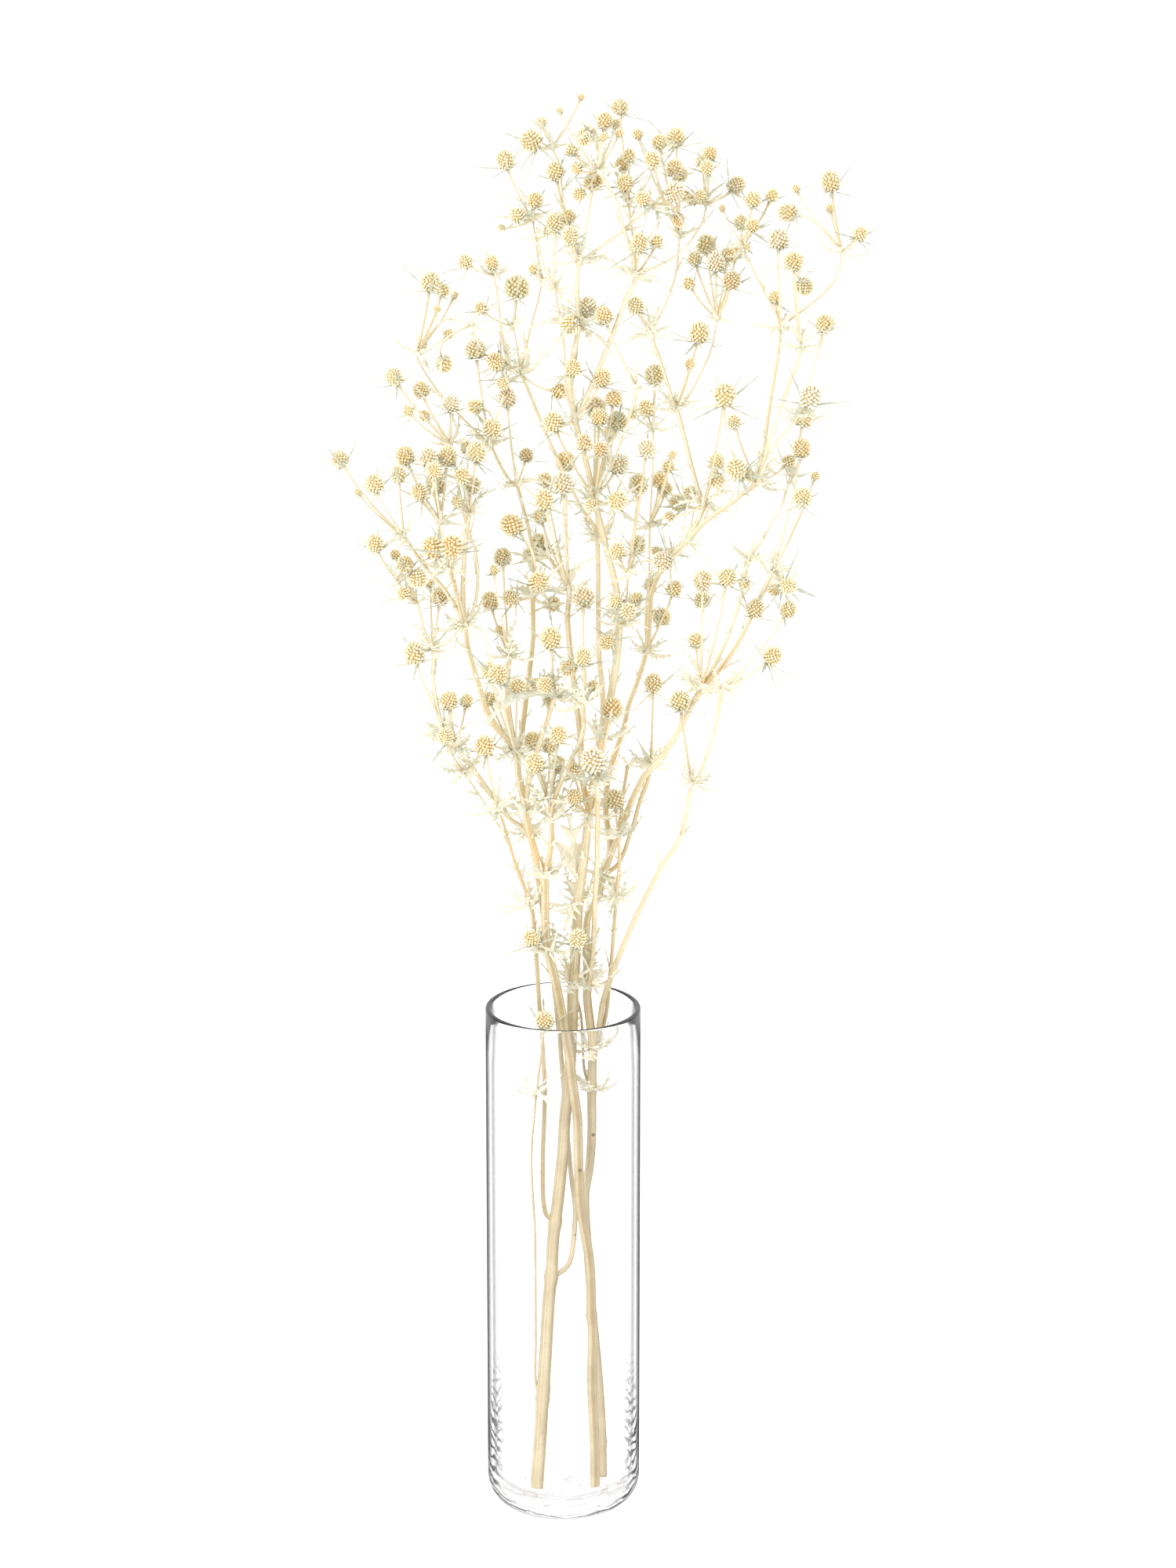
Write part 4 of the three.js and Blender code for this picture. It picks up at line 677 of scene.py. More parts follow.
# A head in its own widths: the height of its middle, and the half width and half height of its
# core and of the egg on which its florets sit
HEAD_MIDDLE = 0.55
CORE = (0.37, 0.45)
SEATS = (0.38, 0.46)

# How far the florets go down from the top of an egg 2 high, their size before it is shared among
# them, and how much they look upward and how much less up and down than outward
FLORET_SPAN = 1.86
FLORET_SIZE = 0.84
FLORET_UPWARD = 0.35
FLORET_FLATNESS = 0.8


def head_mesh(count):
    """An egg of florets over a core that shows deep gold in the gaps between them, as painted shade. A golden
    turn between florets spreads them evenly.
    """
    head = new_shape()
    bmesh.ops.create_uvsphere(head, u_segments=12, v_segments=8, radius=1)
    core = Matrix.Translation((0, 0, HEAD_MIDDLE)) @ stretched(CORE[0], CORE[0], CORE[1])
    bmesh.ops.transform(head, matrix=core, verts=head.verts[:])
    bud = floret_mesh()
    size = FLORET_SIZE / math.sqrt(count)
    for index in range(count):
        height = 1 - FLORET_SPAN * (index + 0.5) / count
        angle = index * math.pi * (3 - math.sqrt(5)) + chance.uniform(-0.08, 0.08)
        level = math.sqrt(1 - height * height)
        out = Vector((level * math.cos(angle), level * math.sin(angle), height))
        spot = Vector((out.x * SEATS[0], out.y * SEATS[0], HEAD_MIDDLE + out.z * SEATS[1]))
        way = Vector((out.x, out.y, out.z * FLORET_FLATNESS)) + Vector((0, 0, FLORET_UPWARD))
        grow = size * chance.uniform(0.85, 1.12)
        seat = pointing(spot, way.normalized(), chance.uniform(0, 3))
        add(head, bud, seat @ stretched(grow, grow, grow * chance.uniform(0.85, 1.2)))
    return shape_mesh("head", head)


# A bract's width and thickness at its foot, and its widths from there to its point
BRACT_FOOT = 0.7
BRACT_THICKNESS = 0.28
BRACT_WIDTHS = (0.95, 0.75, 0.85, 0.6, 0.5, 0.08)


def bract_mesh(curl, teeth):
    """A narrow keeled spine leaf, one unit long, with toothed edges and a hard point."""
    blade = new_shape()
    tip = blade.verts.layers.float["tip"]
    bmesh.ops.create_circle(blade, cap_ends=True, segments=4, radius=0.5)
    bmesh.ops.scale(blade, vec=(BRACT_FOOT, BRACT_THICKNESS, 1), verts=blade.verts[:])
    blade.faces.ensure_lookup_table()
    top = blade.faces[0]
    before = BRACT_FOOT
    rings = len(BRACT_WIDTHS)
    for index, width in enumerate(BRACT_WIDTHS):
        share = (index + 1) / rings
        broad = width * (1 + teeth * ((index + 1) % 2))
        move = Matrix.Translation((0, curl * (2 * share - 1 / rings) / rings, 1 / rings))
        top = drawn_out(blade, top, move @ stretched(broad / before, min(width / before, 1), 1))
        before = broad
        for vert in top.verts:
            vert[tip] = share
    return shape_mesh("bract", blade)


# A leaf's rows and how many go to a lobe, how far its lobes reach, where its edge and the line
# halfway to it lie between lobes, the half width of its root, and its thickness
LEAF_ROWS = 14
LOBE_ROWS = 3
LOBE_REACH = 1.1
EDGE_NOTCH = 0.34
INNER_NOTCH = 0.55
LEAF_ROOT = 0.03
LEAF_THICKNESS = 0.022


def leaf_lobe(across, tooth, teeth):
    """How far out a point of the leaf stands, with spiny lobes at its edge."""
    if across > 0.9:
        return LOBE_REACH + teeth if tooth else EDGE_NOTCH
    if across > 0.4:
        return 1 if tooth else INNER_NOTCH
    return 1


def leaf_mesh(teeth, arch, fold, wave):
    """A thin leaf blade one unit long and wide: folded along its rib, arched, and cut into spiny lobes."""
    leaf = new_shape()
    tip = leaf.verts.layers.float["tip"]
    bmesh.ops.create_grid(leaf, x_segments=4, y_segments=LEAF_ROWS, size=0.5)
    for vert in leaf.verts:
        across, up = 2 * vert.co.x, vert.co.y + 0.5
        tooth = round(up * LEAF_ROWS) % LOBE_ROWS == 1
        outline = math.sin(math.pi * min(1, up ** 0.8)) ** 0.7 * (1 - 0.35 * up)
        half = 0.5 * outline + LEAF_ROOT * (1 - up)
        along = up + (0.12 * abs(across) if tooth else 0)
        bend = arch * 4 * up * (1 - up)
        crease = fold * abs(across) * half + wave * math.sin(7 * up + 3 * across) * half
        vert.co = (across * half * leaf_lobe(abs(across), tooth, teeth), bend + crease, min(along, 1))
        vert[tip] = up
    bmesh.ops.remove_doubles(leaf, verts=leaf.verts[:], dist=0.002)
    bmesh.ops.solidify(leaf, geom=leaf.faces[:], thickness=LEAF_THICKNESS)
    return shape_mesh("leaf", leaf)


# How many florets a head has, by its least width
FLORET_COUNTS = {8: 96, 6: 66, 0: 38}

HEADS = {least: [head_mesh(count) for _ in range(3)] for least, count in FLORET_COUNTS.items()}
BRACTS = [bract_mesh(curl, teeth) for curl in (-0.25, 0.1, 0.35) for teeth in (0.5, 0.9)]
LEAVES = [leaf_mesh(*form) for form in (
    (0.3, 0.14, 0.1, 0.08), (0.5, 0.1, 0.16, -0.1), (0.7, 0.18, 0.08, 0.12), (0.4, 0.06, 0.2, 0.08),
    (0.8, 0.12, 0.12, -0.14))]


# Colours of single heads, told apart by where they stand in the bunch

OLIVE = [(-22.5, 651.5), (58.5, 542), (70.5, 491.5), (59.5, 438.5), (38, 551), (37.5, 520), (27.5, 584),
         (46, 607.5), (-11, 521), (-5, 490), (-13.5, 448), (26.5, 386.5), (85.5, 702.5), (-30, 514),
         (113.5, 486.5), (120, 652.5), (88.5, 684)]
BROWN = [(-18, 566.5), (19, 569.5), (84, 655)]
PALE = [(12, 641.5), (16.5, 591), (0, 552), (10.5, 493), (28, 562), (42, 570), (50.5, 512), (-27.5, 595.5),
        (-55.5, 593), (55.5, 699.5), (76, 664), (107, 675.5), (-67, 565), (15.5, 407), (123.5, 596.5)]
ORANGE = [(21, 637), (-25, 530.5), (25, 434.5), (-32.5, 453), (15.5, 704.5), (31.2, 704), (114.5, 664.5),
          (57.5, 686), (-65, 519), (-55.5, 519.5), (-78.5, 566)]

# The colour of all the other heads
CREAM = (1, 0.945, 0.71)


def head_tint(spot):
    tints = ((OLIVE, (0.92, 0.89, 0.67)), (BROWN, (0.87, 0.76, 0.53)), (PALE, (1, 0.97, 0.86)),
             (ORANGE, (1, 0.9, 0.62)))
    tint = next((colour for spots, colour in tints if spot in spots), CREAM)
    bright = chance.uniform(0.94, 1)
    warm = chance.uniform(-0.03, 0.03)
    return tint[0] * bright, tint[1] * (bright + warm), tint[2] * (bright + 2 * warm)


def leaf_tint():
    """Leaves are bleached: most cream, some greyer."""
    return Vector((0.97, 0.93, 0.79)).lerp(Vector((0.78, 0.78, 0.67)), chance.random() ** 1.8)


def bract_tint():
    """Bracts keep more of their grey-green."""
    return Vector((0.88, 0.83, 0.66)).lerp(Vector((0.5, 0.54, 0.45)), chance.random())


# The pieces of one stem

def branch_lines(one):
    """Each line of branch: its thickest shoot carries it on from a fork, the others start one."""
    heirs = sorted(one["next"], key=lambda shoot: -shoot["girth"])
    count = len(one["points"])
    radii = [one["base"] + (one["girth"] - one["base"]) * index / (count - 1) for index in range(count)]
    whole = {"points": list(one["points"]), "radii": radii, "knots": [one["fork"]]}
    if not heirs:
        return [whole]
    line, *branches = branch_lines(heirs[0])
    whole["points"] += line["points"][1:]
    whole["radii"] += line["radii"][1:]
    whole["knots"] += line["knots"]
    return [whole, *branches, *(made for other in heirs[1:] for made in branch_lines(other))]


EXTRA_KNOTS = [seen([-10.5, 63, -12]), seen([-6.4, 127, -6]), seen([20.5, 33, 3]), seen([14.7, 105, -10])]


# For shoots thicker than a half thickness: their sides, the step along them and the depth of their ribs
SHOOT_KINDS = ((2, 26, 2.4, 0.05), (1, 12, 2.4, 0.08), (0, 7, 3.6, 0.08))
KNOB = 0.35
KNOB_GROWTH = 0.07


def branches_of(shoots):
    bunch = new_shape()
    for line in branch_lines(shoots[0]):
        thick = max(line["radii"])
        sides, step, ribs = next(kind[1:] for kind in SHOOT_KINDS if thick > kind[0])
        knob = KNOB + KNOB_GROWTH * thick
        path = smooth_path(line["points"], line["radii"], line["knots"] + EXTRA_KNOTS, step, knob)
        mesh = tube(path, sides, ribs)
        bunch.from_mesh(mesh)
        bpy.data.meshes.remove(mesh)
    return bunch


# A head's stalk: its sides, the step along it, its half thickness and what the head's width adds,
# and how much thicker it is at its fork and under the head
STALK_SIDES = 7
STALK_STEP = 5
STALK_HALF = 0.42
STALK_GROWTH = 0.02
STALK_FOOT = 1.25
STALK_SEAT = 1.7


def stalks_of(heads, bunch):
    for head in heads:
        fork, control, foot = Vector(head["stalk"][0]), Vector(head["control"]), Vector(head["foot"])
        count = max(4, math.ceil((foot - fork).length / STALK_STEP))
        line = interpolate_bezier(fork, fork.lerp(control, 2 / 3), foot.lerp(control, 2 / 3), foot, count + 1)
        girth = STALK_HALF + STALK_GROWTH * head["width"]
        swell = [STALK_FOOT - (STALK_FOOT - 1) * min(1, 2 * index / count) for index in range(count)]
        path = [(point, girth * more) for point, more in zip(line, [*swell, STALK_SEAT])]
        mesh = tube(path, STALK_SIDES)
        bunch.from_mesh(mesh)
        bpy.data.meshes.remove(mesh)


def heads_of(heads):
    bunch = new_shape()
    for head in heads:
        width = head["width"]
        kinds = next(meshes for least, meshes in HEADS.items() if width >= least)
        seat = pointing(head["foot"], head["axis"], any_turn())
        plump = chance.uniform(0.96, 1.05)
        shape = stretched(width * plump, width * plump, width / plump)
        add(bunch, chance.choice(kinds), seat @ shape, head_tint(head["spot"]))
    return bunch


# How many long bracts a head has when it is wider than each width, and the widths past which its
# long bracts are longer and its ruff is fuller
BRACT_COUNTS = ((8, 9), (5, 7), (0, 5))
SMALL_HEAD = 5
RUFF_HEAD = 6


def add_bract_star(bunch, seat, width):
    """A star of long spiny bracts under a head."""
    count = next(count for least, count in BRACT_COUNTS if width > least)
    start = Matrix.Translation((0, 0.1 * width, 0.06 * width))
    for index in range(count):
        around = spread_turn(index, count, 0.3)
        lean = leaning(48, 108)
        length = width * (chance.uniform(1.3, 2.4) if width > SMALL_HEAD else chance.uniform(0.9, 1.6))
        broad = chance.uniform(0.9, 1.5)
        blade = stretched(broad, max(broad, 0.06 * length), length)
        add(bunch, chance.choice(BRACTS), seat @ around @ start @ lean @ blade, bract_tint())


def add_ruff(bunch, seat, width):
    """A ruff of short bracts close to a head."""
    count = 8 if width > RUFF_HEAD else 5
    start = Matrix.Translation((0, 0.2 * width, 0.1 * width))
    for index in range(count):
        around = spread_turn(index, count, 0.3)
        lean = leaning(25, 75)
        blade = stretched(0.9, 0.9, width * chance.uniform(0.32, 0.6))
        add(bunch, chance.choice(BRACTS), seat @ around @ start @ lean @ blade, bract_tint())


def bracts_of(heads):
    bunch = new_shape()
    for head in heads:
        seat = pointing(head["foot"], head["axis"], any_turn())
        add_bract_star(bunch, seat, head["width"])
        add_ruff(bunch, seat, head["width"])
    return bunch


# The heights from which slim leaves grow at the bends and whorls at the forks, the height below
# which whorls are fuller, and the half thickness past which an upper shoot has a larger whorl
SLIM_LEAVES = 285
WHORLS = 225
LOW_WHORLS = 490
STOUT_SHOOT = 0.7


def add_slim_leaves(bunch, one):
    """Two slim leaves at every bend of a shoot."""
    for before, spot in zip(one["points"], one["points"][1:-1]):
        for _ in range(2 if spot[2] > SLIM_LEAVES else 0):
            seat = pointing(spot, spot - before, any_turn())
            lean = leaning(20, 75)
            broad = chance.uniform(1, 1.8)
            kind = chance.choice(BRACTS)
            add(bunch, kind, seat @ lean @ stretched(broad, broad, chance.uniform(7, 13)), leaf_tint())


def add_listed_leaves(bunch, one):
    """The larger leaves, each from its fork to its listed tip."""
    for spot in one["leaves"]:
        reach = seen(spot[:3]) - one["fork"]
        length = numpy.linalg.norm(reach)
        broad = 0.8 + 0.8 * spot[3]
        seat = pointing(one["fork"], reach, chance.uniform(-0.7, 0.7))
        add(bunch, chance.choice(LEAVES), seat @ stretched(broad * 1.15, length, length), leaf_tint())


def add_whorl(bunch, one):
    """Spiny leaves round a fork, papery and fuller low in the bunch."""
    low = one["fork"][2] < LOW_WHORLS
    seat = pointing(one["fork"], unit(one["fork"] - one["points"][-2]), any_turn())
    count = 11 if low else 9 if one["girth"] > STOUT_SHOOT else 6
    for index in range(count):
        around = spread_turn(index, count, 0.35)
        lean = leaning(25, 95)
        start = Matrix.Translation((0, 0.6 * one["girth"], chance.uniform(-1, 1)))
        length = chance.uniform(9, 18) if low else chance.uniform(7, 15) + 2.5 * one["girth"]
        if chance.random() < (0.6 if low else 0.35):
            kind, broad = chance.choice(LEAVES), chance.uniform(3, 6.5) if low else chance.uniform(1.8, 3)
        else:
            kind, broad = chance.choice(BRACTS), chance.uniform(1.1, 2.1)
        add(bunch, kind, seat @ around @ start @ lean @ stretched(broad, length * 0.8, length), leaf_tint())


def leaves_of(shoots):
    bunch = new_shape()
    for one in shoots:
        add_slim_leaves(bunch, one)
        add_listed_leaves(bunch, one)
        if one["fork"][2] >= WHORLS and (one["heads"] or one["next"]):
            add_whorl(bunch, one)
    return bunch


# The vase, turned from its outline

def arc(centre, radius, start, end, count):
    """Points of an arc in the outline's plane, its angles in degrees from straight out."""
    angles = [math.radians(start + (end - start) * index / count) for index in range(count + 1)]
    return [(centre[0] + radius * math.cos(angle), centre[1] + radius * math.sin(angle)) for angle in angles]


# The levels of the rings up the straight wall, and the radius of a ring on the inner floor
LOWEST_RING = 40
HIGHEST_RING = 270
RING_STEP = 26
FLOOR_RING = 12


def vase_shape():
    inner = VASE_RADIUS - WALL
    outline = [(0, 0), *arc((VASE_RADIUS - FOOT_CORNER, FOOT_CORNER), FOOT_CORNER, -90, 0, 12)]
    outline += [(VASE_RADIUS, height) for height in range(LOWEST_RING, HIGHEST_RING, RING_STEP)]
    outline += arc((VASE_RADIUS - RIM_EDGE, VASE_HEIGHT - RIM_EDGE), RIM_EDGE, 0, 90, 4)
    outline += arc((inner + RIM_EDGE, VASE_HEIGHT - RIM_EDGE), RIM_EDGE, 90, 180, 4)
    outline += [(inner, height) for height in range(HIGHEST_RING, LOWEST_RING, -RING_STEP)]
    outline += arc((inner - INNER_CORNER, FLOOR_THICKNESS + INNER_CORNER), INNER_CORNER, 0, -90, 10)
    outline += [(FLOOR_RING, FLOOR_THICKNESS), (0, FLOOR_THICKNESS)]
    vase = bmesh.new()
    corners = [vase.verts.new((radius, 0, height)) for radius, height in outline]
    edges = [vase.edges.new(pair) for pair in zip(corners, corners[1:])]
    bmesh.ops.spin(vase, geom=corners + edges, cent=(0, 0, 0), axis=(0, 0, 1), angle=2 * math.pi,
                   steps=144, use_merge=True)
    bmesh.ops.remove_doubles(vase, verts=vase.verts[:], dist=0.01)
    bmesh.ops.recalc_face_normals(vase, faces=vase.faces[:])
    return vase


# Finishes

WHITE = (1, 1, 1)
BLACK = (0, 0, 0)


def finish_of(name):
    """A new material: its nodes, its links and its main shader."""
    material = bpy.data.materials.new(name)
    material.use_nodes = True
    tree = material.node_tree
    return material, tree, tree.nodes["Principled BSDF"]


def node(tree, kind, **settings):
    made = tree.nodes.new(kind)
    for key, value in settings.items():
        if hasattr(made, key):
            setattr(made, key, value)
        else:
            made.inputs[key.replace("_", " ")].default_value = value
    return made


def noise(tree, scale, detail, stretch=(1, 1, 1)):
    place = node(tree, "ShaderNodeTexCoord")
    mapping = node(tree, "ShaderNodeMapping")
    mapping.inputs["Scale"].default_value = stretch
    made = node(tree, "ShaderNodeTexNoise")
    made.inputs["Scale"].default_value = scale
    made.inputs["Detail"].default_value = detail
    tree.links.new(place.outputs["Object"], mapping.inputs["Vector"])
    tree.links.new(mapping.outputs["Vector"], made.inputs["Vector"])
    return made.outputs["Fac"]


def attribute(tree, name, output="Fac"):
    return node(tree, "ShaderNodeAttribute", attribute_name=name).outputs[output]


def ramp(tree, value, *stops):
    made = node(tree, "ShaderNodeValToRGB")
    elements = made.color_ramp.elements
    for index, (position, colour) in enumerate(stops):
        element = elements[index] if index < 2 else elements.new(position)
        element.position, element.color = position, (*colour, 1)
    tree.links.new(value, made.inputs["Fac"])
    return made.outputs["Color"]


def mixed(tree, first, second, factor, blend="MIX"):
    made = node(tree, "ShaderNodeMix", data_type="RGBA", blend_type=blend)
    for socket, value in ((6, first), (7, second), (0, factor)):
        if hasattr(value, "links"):
            tree.links.new(value, made.inputs[socket])
        else:
            made.inputs[socket].default_value = value if socket == 0 else (*value, 1)
    return made.outputs[2]


def within(tree, value, low, high, start=0.0, end=1.0):
    made = node(tree, "ShaderNodeMapRange")
    for socket, number in zip((1, 2, 3, 4), (low, high, start, end)):
        made.inputs[socket].default_value = number
    tree.links.new(value, made.inputs[0])
    return made.outputs[0]


def product(tree, *values):
    """The product of several values."""
    result = values[0]
    for value in values[1:]:
        made = node(tree, "ShaderNodeMath", operation="MULTIPLY")
        tree.links.new(result, made.inputs[0])
        tree.links.new(value, made.inputs[1])
        result = made.outputs[0]
    return result


def height_of(tree):
    parts = node(tree, "ShaderNodeSeparateXYZ")
    tree.links.new(node(tree, "ShaderNodeTexCoord").outputs["Object"], parts.inputs[0])
    return parts.outputs["Z"]


def bump(tree, shader, height, strength, distance):
    made = node(tree, "ShaderNodeBump")
    made.inputs["Strength"].default_value = strength
    made.inputs["Distance"].default_value = distance
    tree.links.new(height, made.inputs["Height"])
    tree.links.new(made.outputs["Normal"], shader.inputs["Normal"])


SCAR_BROWN = (0.2, 0.09, 0.04)

# Scars where a leaf broke off, with their half widths
SCARS = [([8.8, 186, -9.6], 1.3), ([15.7, 205.7, 2.8], 1.2), ([6.5, 150, 0.6], 0.8)]


def straw_stem():
    material, tree, shader = finish_of("straw_stem")
    height = height_of(tree)
    spots = noise(tree, 60, 4)
    low = ramp(tree, spots, (0.35, (0.61, 0.5, 0.3)), (0.65, (0.74, 0.64, 0.43)))
    high = ramp(tree, spots, (0.35, (0.88, 0.79, 0.57)), (0.65, (0.94, 0.88, 0.7)))
    base = mixed(tree, low, high, within(tree, height, 0.25, 0.45))
    streak = attribute(tree, "streak")
    lines = ramp(tree, streak, (0.1, (0.72, 0.62, 0.45)), (0.6, WHITE))
    lined = mixed(tree, base, lines, 0.9, "MULTIPLY")
    middle = product(tree, within(tree, height, 0.27, 0.34), within(tree, height, 0.44, 0.52, 1, 0.2))
    patches = product(tree, middle, within(tree, noise(tree, 22, 2), 0.45, 0.65, 0, 0.5))
    tanned = mixed(tree, lined, (0.78, 0.52, 0.22), patches)
    specks = noise(tree, 700, 3)
    speckled = ramp(tree, specks, (0.3, (0.86, 0.8, 0.68)), (0.5, WHITE))
    fine = mixed(tree, tanned, speckled, 0.6, "MULTIPLY")
    for spot, size in SCARS:
        away = node(tree, "ShaderNodeVectorMath", operation="DISTANCE")
        tree.links.new(node(tree, "ShaderNodeTexCoord").outputs["Object"], away.inputs[0])
        away.inputs[1].default_value = [METRES * value for value in seen(spot)]
        mark = within(tree, away.outputs["Value"], 0.6 * METRES * size, METRES * size, 0.85, 0)
        fine = mixed(tree, fine, SCAR_BROWN, mark)
    tree.links.new(fine, shader.inputs["Base Color"])
    shader.inputs["Roughness"].default_value = 0.72
    bump(tree, shader, streak, 0.6, 0.0003)
    return material


def bleached_florets():
    material, tree, shader = finish_of("bleached_florets")
    tint = attribute(tree, "tint", "Color")
    depth = attribute(tree, "tip")
    # Deeper gold toward the florets' feet: painted shade in the gaps between them.
    shade = ramp(tree, depth, (0.0, (0.92, 0.72, 0.4)), (0.45, (0.99, 0.94, 0.8)), (1.0, WHITE))
    toned = mixed(tree, tint, shade, 1.0, "MULTIPLY")
    flecks = ramp(tree, noise(tree, 1500, 2), (0.35, (0.94, 0.9, 0.8)), (0.6, WHITE))
    flecked = mixed(tree, toned, flecks, 0.6, "MULTIPLY")
    tipped = mixed(tree, flecked, (1, 0.98, 0.92), within(tree, depth, 0.6, 1, 0, 0.6))
    tree.links.new(tipped, shader.inputs["Base Color"])
    shader.inputs["Roughness"].default_value = 0.8
    bump(tree, shader, noise(tree, 2500, 2), 0.3, 0.0004)
    return material


def bleached_blades():
    material, tree, shader = finish_of("bleached_blades")
    tint = attribute(tree, "tint", "Color")
    ribs = noise(tree, 900, 3, (1, 1, 0.3))
    veins = ramp(tree, ribs, (0.35, (0.88, 0.86, 0.76)), (0.6, WHITE))
    veined = mixed(tree, tint, veins, 0.6, "MULTIPLY")
    greyed = mixed(tree, veined, (0.62, 0.64, 0.56), within(tree, attribute(tree, "tip"), 0.6, 1, 0, 0.25))
    tree.links.new(greyed, shader.inputs["Base Color"])
    shader.inputs["Roughness"].default_value = 0.65
    bump(tree, shader, ribs, 0.25, 0.0003)
    return material


def grey(level):
    return (level,) * 3


def upright_parts(tree):
    """One where the glass stands upright and none where it lies flat."""
    parts = node(tree, "ShaderNodeSeparateXYZ")
    tree.links.new(node(tree, "ShaderNodeNewGeometry").outputs["Normal"], parts.inputs[0])
    slope = node(tree, "ShaderNodeMath", operation="ABSOLUTE")
    tree.links.new(parts.outputs["Z"], slope.inputs[0])
    return within(tree, slope.outputs[0], 0.6, 0.9, 1, 0)


def painted_dark_edges(tree, facing, height, upright):
    """Painted shade: dark lines where the wall is seen edge on, standing in for what the glass refracts
    there, weaker at the foot and the rim.
    """
    edge = ramp(tree, facing, (0.5, BLACK), (0.67, grey(0.12)), (0.74, grey(0.6)), (0.82, grey(0.92)))
    above_foot = within(tree, height, 0.012, 0.04, 0.6, 1)
    below_rim = within(tree, height, 0.262, 0.273, 1, 0.4)
    return product(tree, edge, upright, above_foot, below_rim)


def painted_low_strokes(tree, facing, height, upright):
    """Painted shade: short dark slanting strokes, low on the wall and toward its sides, standing in for what
    the glass refracts there.
    """
    slant = node(tree, "ShaderNodeMath", operation="MULTIPLY")
    tree.links.new(facing, slant.inputs[0])
    slant.inputs[1].default_value = -16
    waves = node(tree, "ShaderNodeTexWave", bands_direction="Z", Scale=55, Distortion=9, Detail=3,
                 Detail_Scale=1.6)
    tree.links.new(node(tree, "ShaderNodeTexCoord").outputs["Object"], waves.inputs["Vector"])
    tree.links.new(slant.outputs[0], waves.inputs["Phase Offset"])
    strokes = ramp(tree, waves.outputs["Fac"], (0.5, BLACK), (0.85, grey(0.95)))
    low = within(tree, height, 0.05, 0.1, 1, 0)
    return product(tree, strokes, upright, low, within(tree, facing, 0.42, 0.66))


def blended(tree, first, second, factor):
    """A mix of two shaders."""
    made = node(tree, "ShaderNodeMixShader")
    for socket, value in zip(made.inputs, (factor, first, second)):
        tree.links.new(value, socket)
    return made.outputs[0]


def clear_glass():
    """Clear glass with painted shade: dark where it is seen edge on, with dark strokes low on its sides and
    swirls in its foot, standing in for what the glass refracts.
    """
    material, tree, shader = finish_of("clear_glass")
    shader.inputs["Base Color"].default_value = (1, 1, 1, 1)
    shader.inputs["Transmission Weight"].default_value = 1
    shader.inputs["Roughness"].default_value = 0.0
    shader.inputs["IOR"].default_value = 1.45
    facing = node(tree, "ShaderNodeLayerWeight").outputs["Facing"]
    height = height_of(tree)
    upright = upright_parts(tree)
    edges = painted_dark_edges(tree, facing, height, upright)
    strokes = painted_low_strokes(tree, facing, height, upright)
    # Painted shade: dark swirls in the thick foot, standing in for what the glass refracts there.
    swirls = ramp(tree, noise(tree, 110, 4, (1, 1, 2)), (0.485, BLACK), (0.5, grey(0.55)), (0.515, BLACK))
    foot = product(tree, swirls, within(tree, height, 0.012, 0.024, 0.7, 0))
    painted_darkness = mixed(tree, mixed(tree, edges, strokes, 1.0, "LIGHTEN"), foot, 1.0, "LIGHTEN")
    # A near-black diffuse that the painted shade masks above mix into the clear glass.
    shade = node(tree, "ShaderNodeBsdfDiffuse")
    shade.inputs["Color"].default_value = (0.06, 0.06, 0.065, 1)
    through = node(tree, "ShaderNodeBsdfTransparent").outputs[0]
    clear_low = within(tree, height, 0.008, 0.022, 0.85, 0)
    clearing = product(tree, clear_low, within(tree, facing, 0.6, 0.85, 1, 0.3))
    bright_foot = blended(tree, shader.outputs[0], through, clearing)
    edged = blended(tree, bright_foot, shade.outputs[0], painted_darkness)
    in_shadow = node(tree, "ShaderNodeLightPath").outputs["Is Shadow Ray"]
    lit = blended(tree, edged, through, in_shadow)
    tree.links.new(lit, tree.nodes["Material Output"].inputs["Surface"])
    return material


def finished(name, shape, material, slot, *nodes, rounded=True):
    """Makes a shape a piece in metres that rides with the part and stands for its nodes."""
    bmesh.ops.scale(shape, vec=(METRES,) * 3, verts=shape.verts[:])
    mesh = bpy.data.meshes.new(name)
    shape.to_mesh(mesh)
    shape.free()
    if rounded:
        mesh.shade_smooth()
    mesh.materials.append(material)
    piece = bpy.data.objects.new(name, mesh)
    bpy.context.scene.collection.objects.link(piece)
    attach(piece, "root")
    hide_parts(*nodes)


# The camera at the photograph's viewing angle, the floor and the soft light

# The camera's tilt and turn in degrees, its sensor in millimetres, and how far its picture plane
# lies from the eye in pixels of a picture 2000 pixels high
CAMERA_TILT = 16.55
CAMERA_TURN = -0.284
SENSOR = 36
PICTURE_DISTANCE = 6797
PICTURE_HEIGHT = 2000


def photo_camera():
    data = bpy.data.cameras.new("photo_camera")
    data.sensor_fit = "VERTICAL"
    data.sensor_height = SENSOR
    data.lens = PICTURE_DISTANCE / PICTURE_HEIGHT * SENSOR
    camera = bpy.data.objects.new("photo_camera", data)
    camera.location = METRES * EYE
    camera.rotation_euler = (math.radians(90 - CAMERA_TILT), 0, math.radians(CAMERA_TURN))
    bpy.context.scene.collection.objects.link(camera)
    bpy.context.scene.camera = camera


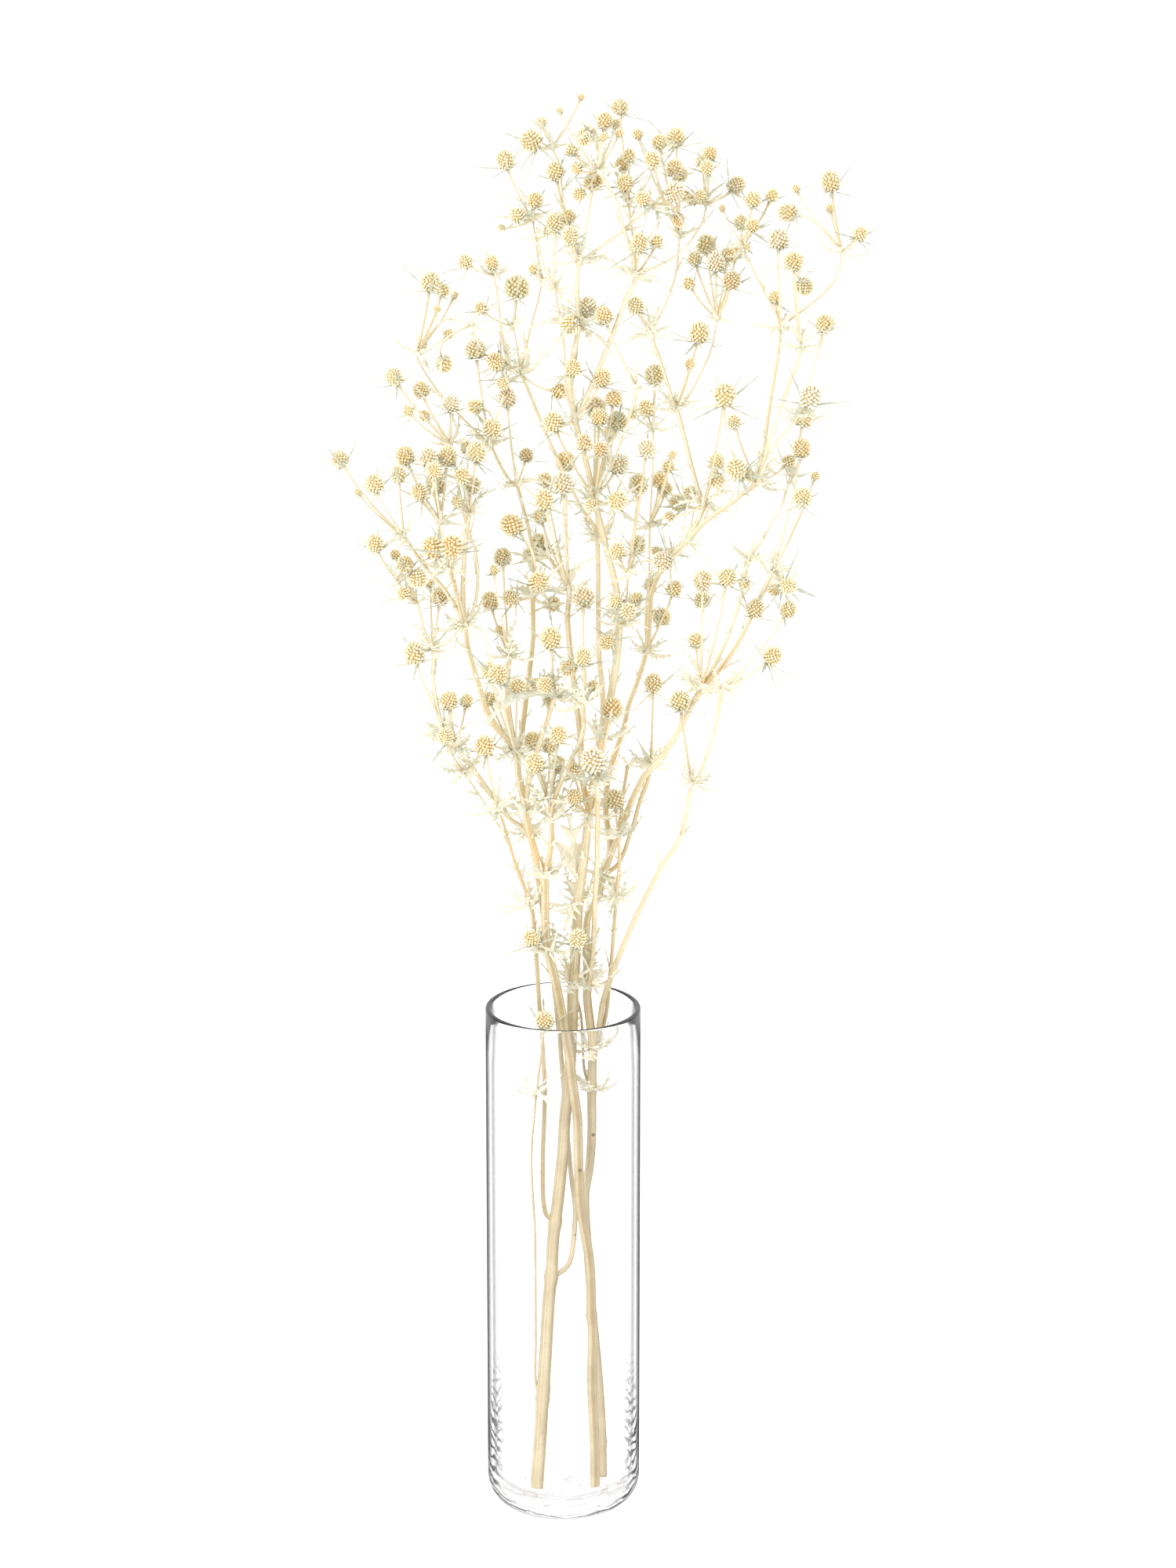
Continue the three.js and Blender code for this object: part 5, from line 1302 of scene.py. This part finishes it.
def pale_floor():
    plane = bmesh.new()
    bmesh.ops.create_grid(plane, x_segments=1, y_segments=1, size=15)
    mesh = bpy.data.meshes.new("floor")
    plane.to_mesh(mesh)
    plane.free()
    material, tree, shader = finish_of("pale_floor")
    shader.inputs["Base Color"].default_value = (0.9, 0.9, 0.9, 1)
    shader.inputs["Roughness"].default_value = 1
    shader.inputs["Emission Color"].default_value = (1, 1, 1, 1)
    shader.inputs["Emission Strength"].default_value = 0.3
    mesh.materials.append(material)
    floor = bpy.data.objects.new("floor", mesh)
    bpy.context.scene.collection.objects.link(floor)


LIT_SPOT = Vector((0, 0, 0.45))


def soft_light(name, place, size, power):
    data = bpy.data.lights.new(name, "AREA")
    data.size, data.energy = size, power
    lamp = bpy.data.objects.new(name, data)
    lamp.location = place
    lamp.rotation_euler = (LIT_SPOT - Vector(place)).to_track_quat("-Z", "Y").to_euler()
    bpy.context.scene.collection.objects.link(lamp)


def studio():
    world = bpy.data.worlds.new("studio")
    world.use_nodes = True
    world.node_tree.nodes["Background"].inputs["Color"].default_value = (1, 1, 1, 1)
    world.node_tree.nodes["Background"].inputs["Strength"].default_value = 1.0
    bpy.context.scene.world = world
    bpy.context.scene.view_settings.view_transform = "Standard"
    soft_light("key", place=(-1.6, -2.2, 2.4), size=1.2, power=45)
    soft_light("fill", place=(2.2, 1.4, 1.8), size=1.6, power=12)


photo_camera()
pale_floor()
studio()

stems = [("stem_centre", centre_stem()), ("stem_left", left_stem()), ("stem_right", right_stem())]
plans = [(name, plan_shoots(name, growth)) for name, growth in stems]
heads = {name: [plan_head(name, one["fork"], listed) for one in shoots for listed in one["heads"]]
         for name, shoots in plans}

straw, florets, blades, glass = straw_stem(), bleached_florets(), bleached_blades(), clear_glass()
for name, shoots in plans:
    branches = branches_of(shoots)
    stalks_of(heads[name], branches)
    finished(name + "_branches", branches, straw, "dried_plant", name)
    half = len(heads[name]) // 2
    finished(name + "_low_heads", heads_of(heads[name][:half]), florets, "dried_plant", name)
    finished(name + "_high_heads", heads_of(heads[name][half:]), florets, "dried_plant", name)
    finished(name + "_bracts", bracts_of(heads[name]), blades, "dried_plant", name, rounded=False)
    finished(name + "_leaves", leaves_of(shoots), blades, "dried_plant", name, rounded=False)
finished("clear_vase", vase_shape(), glass, "clear_glass", "glass_vase")
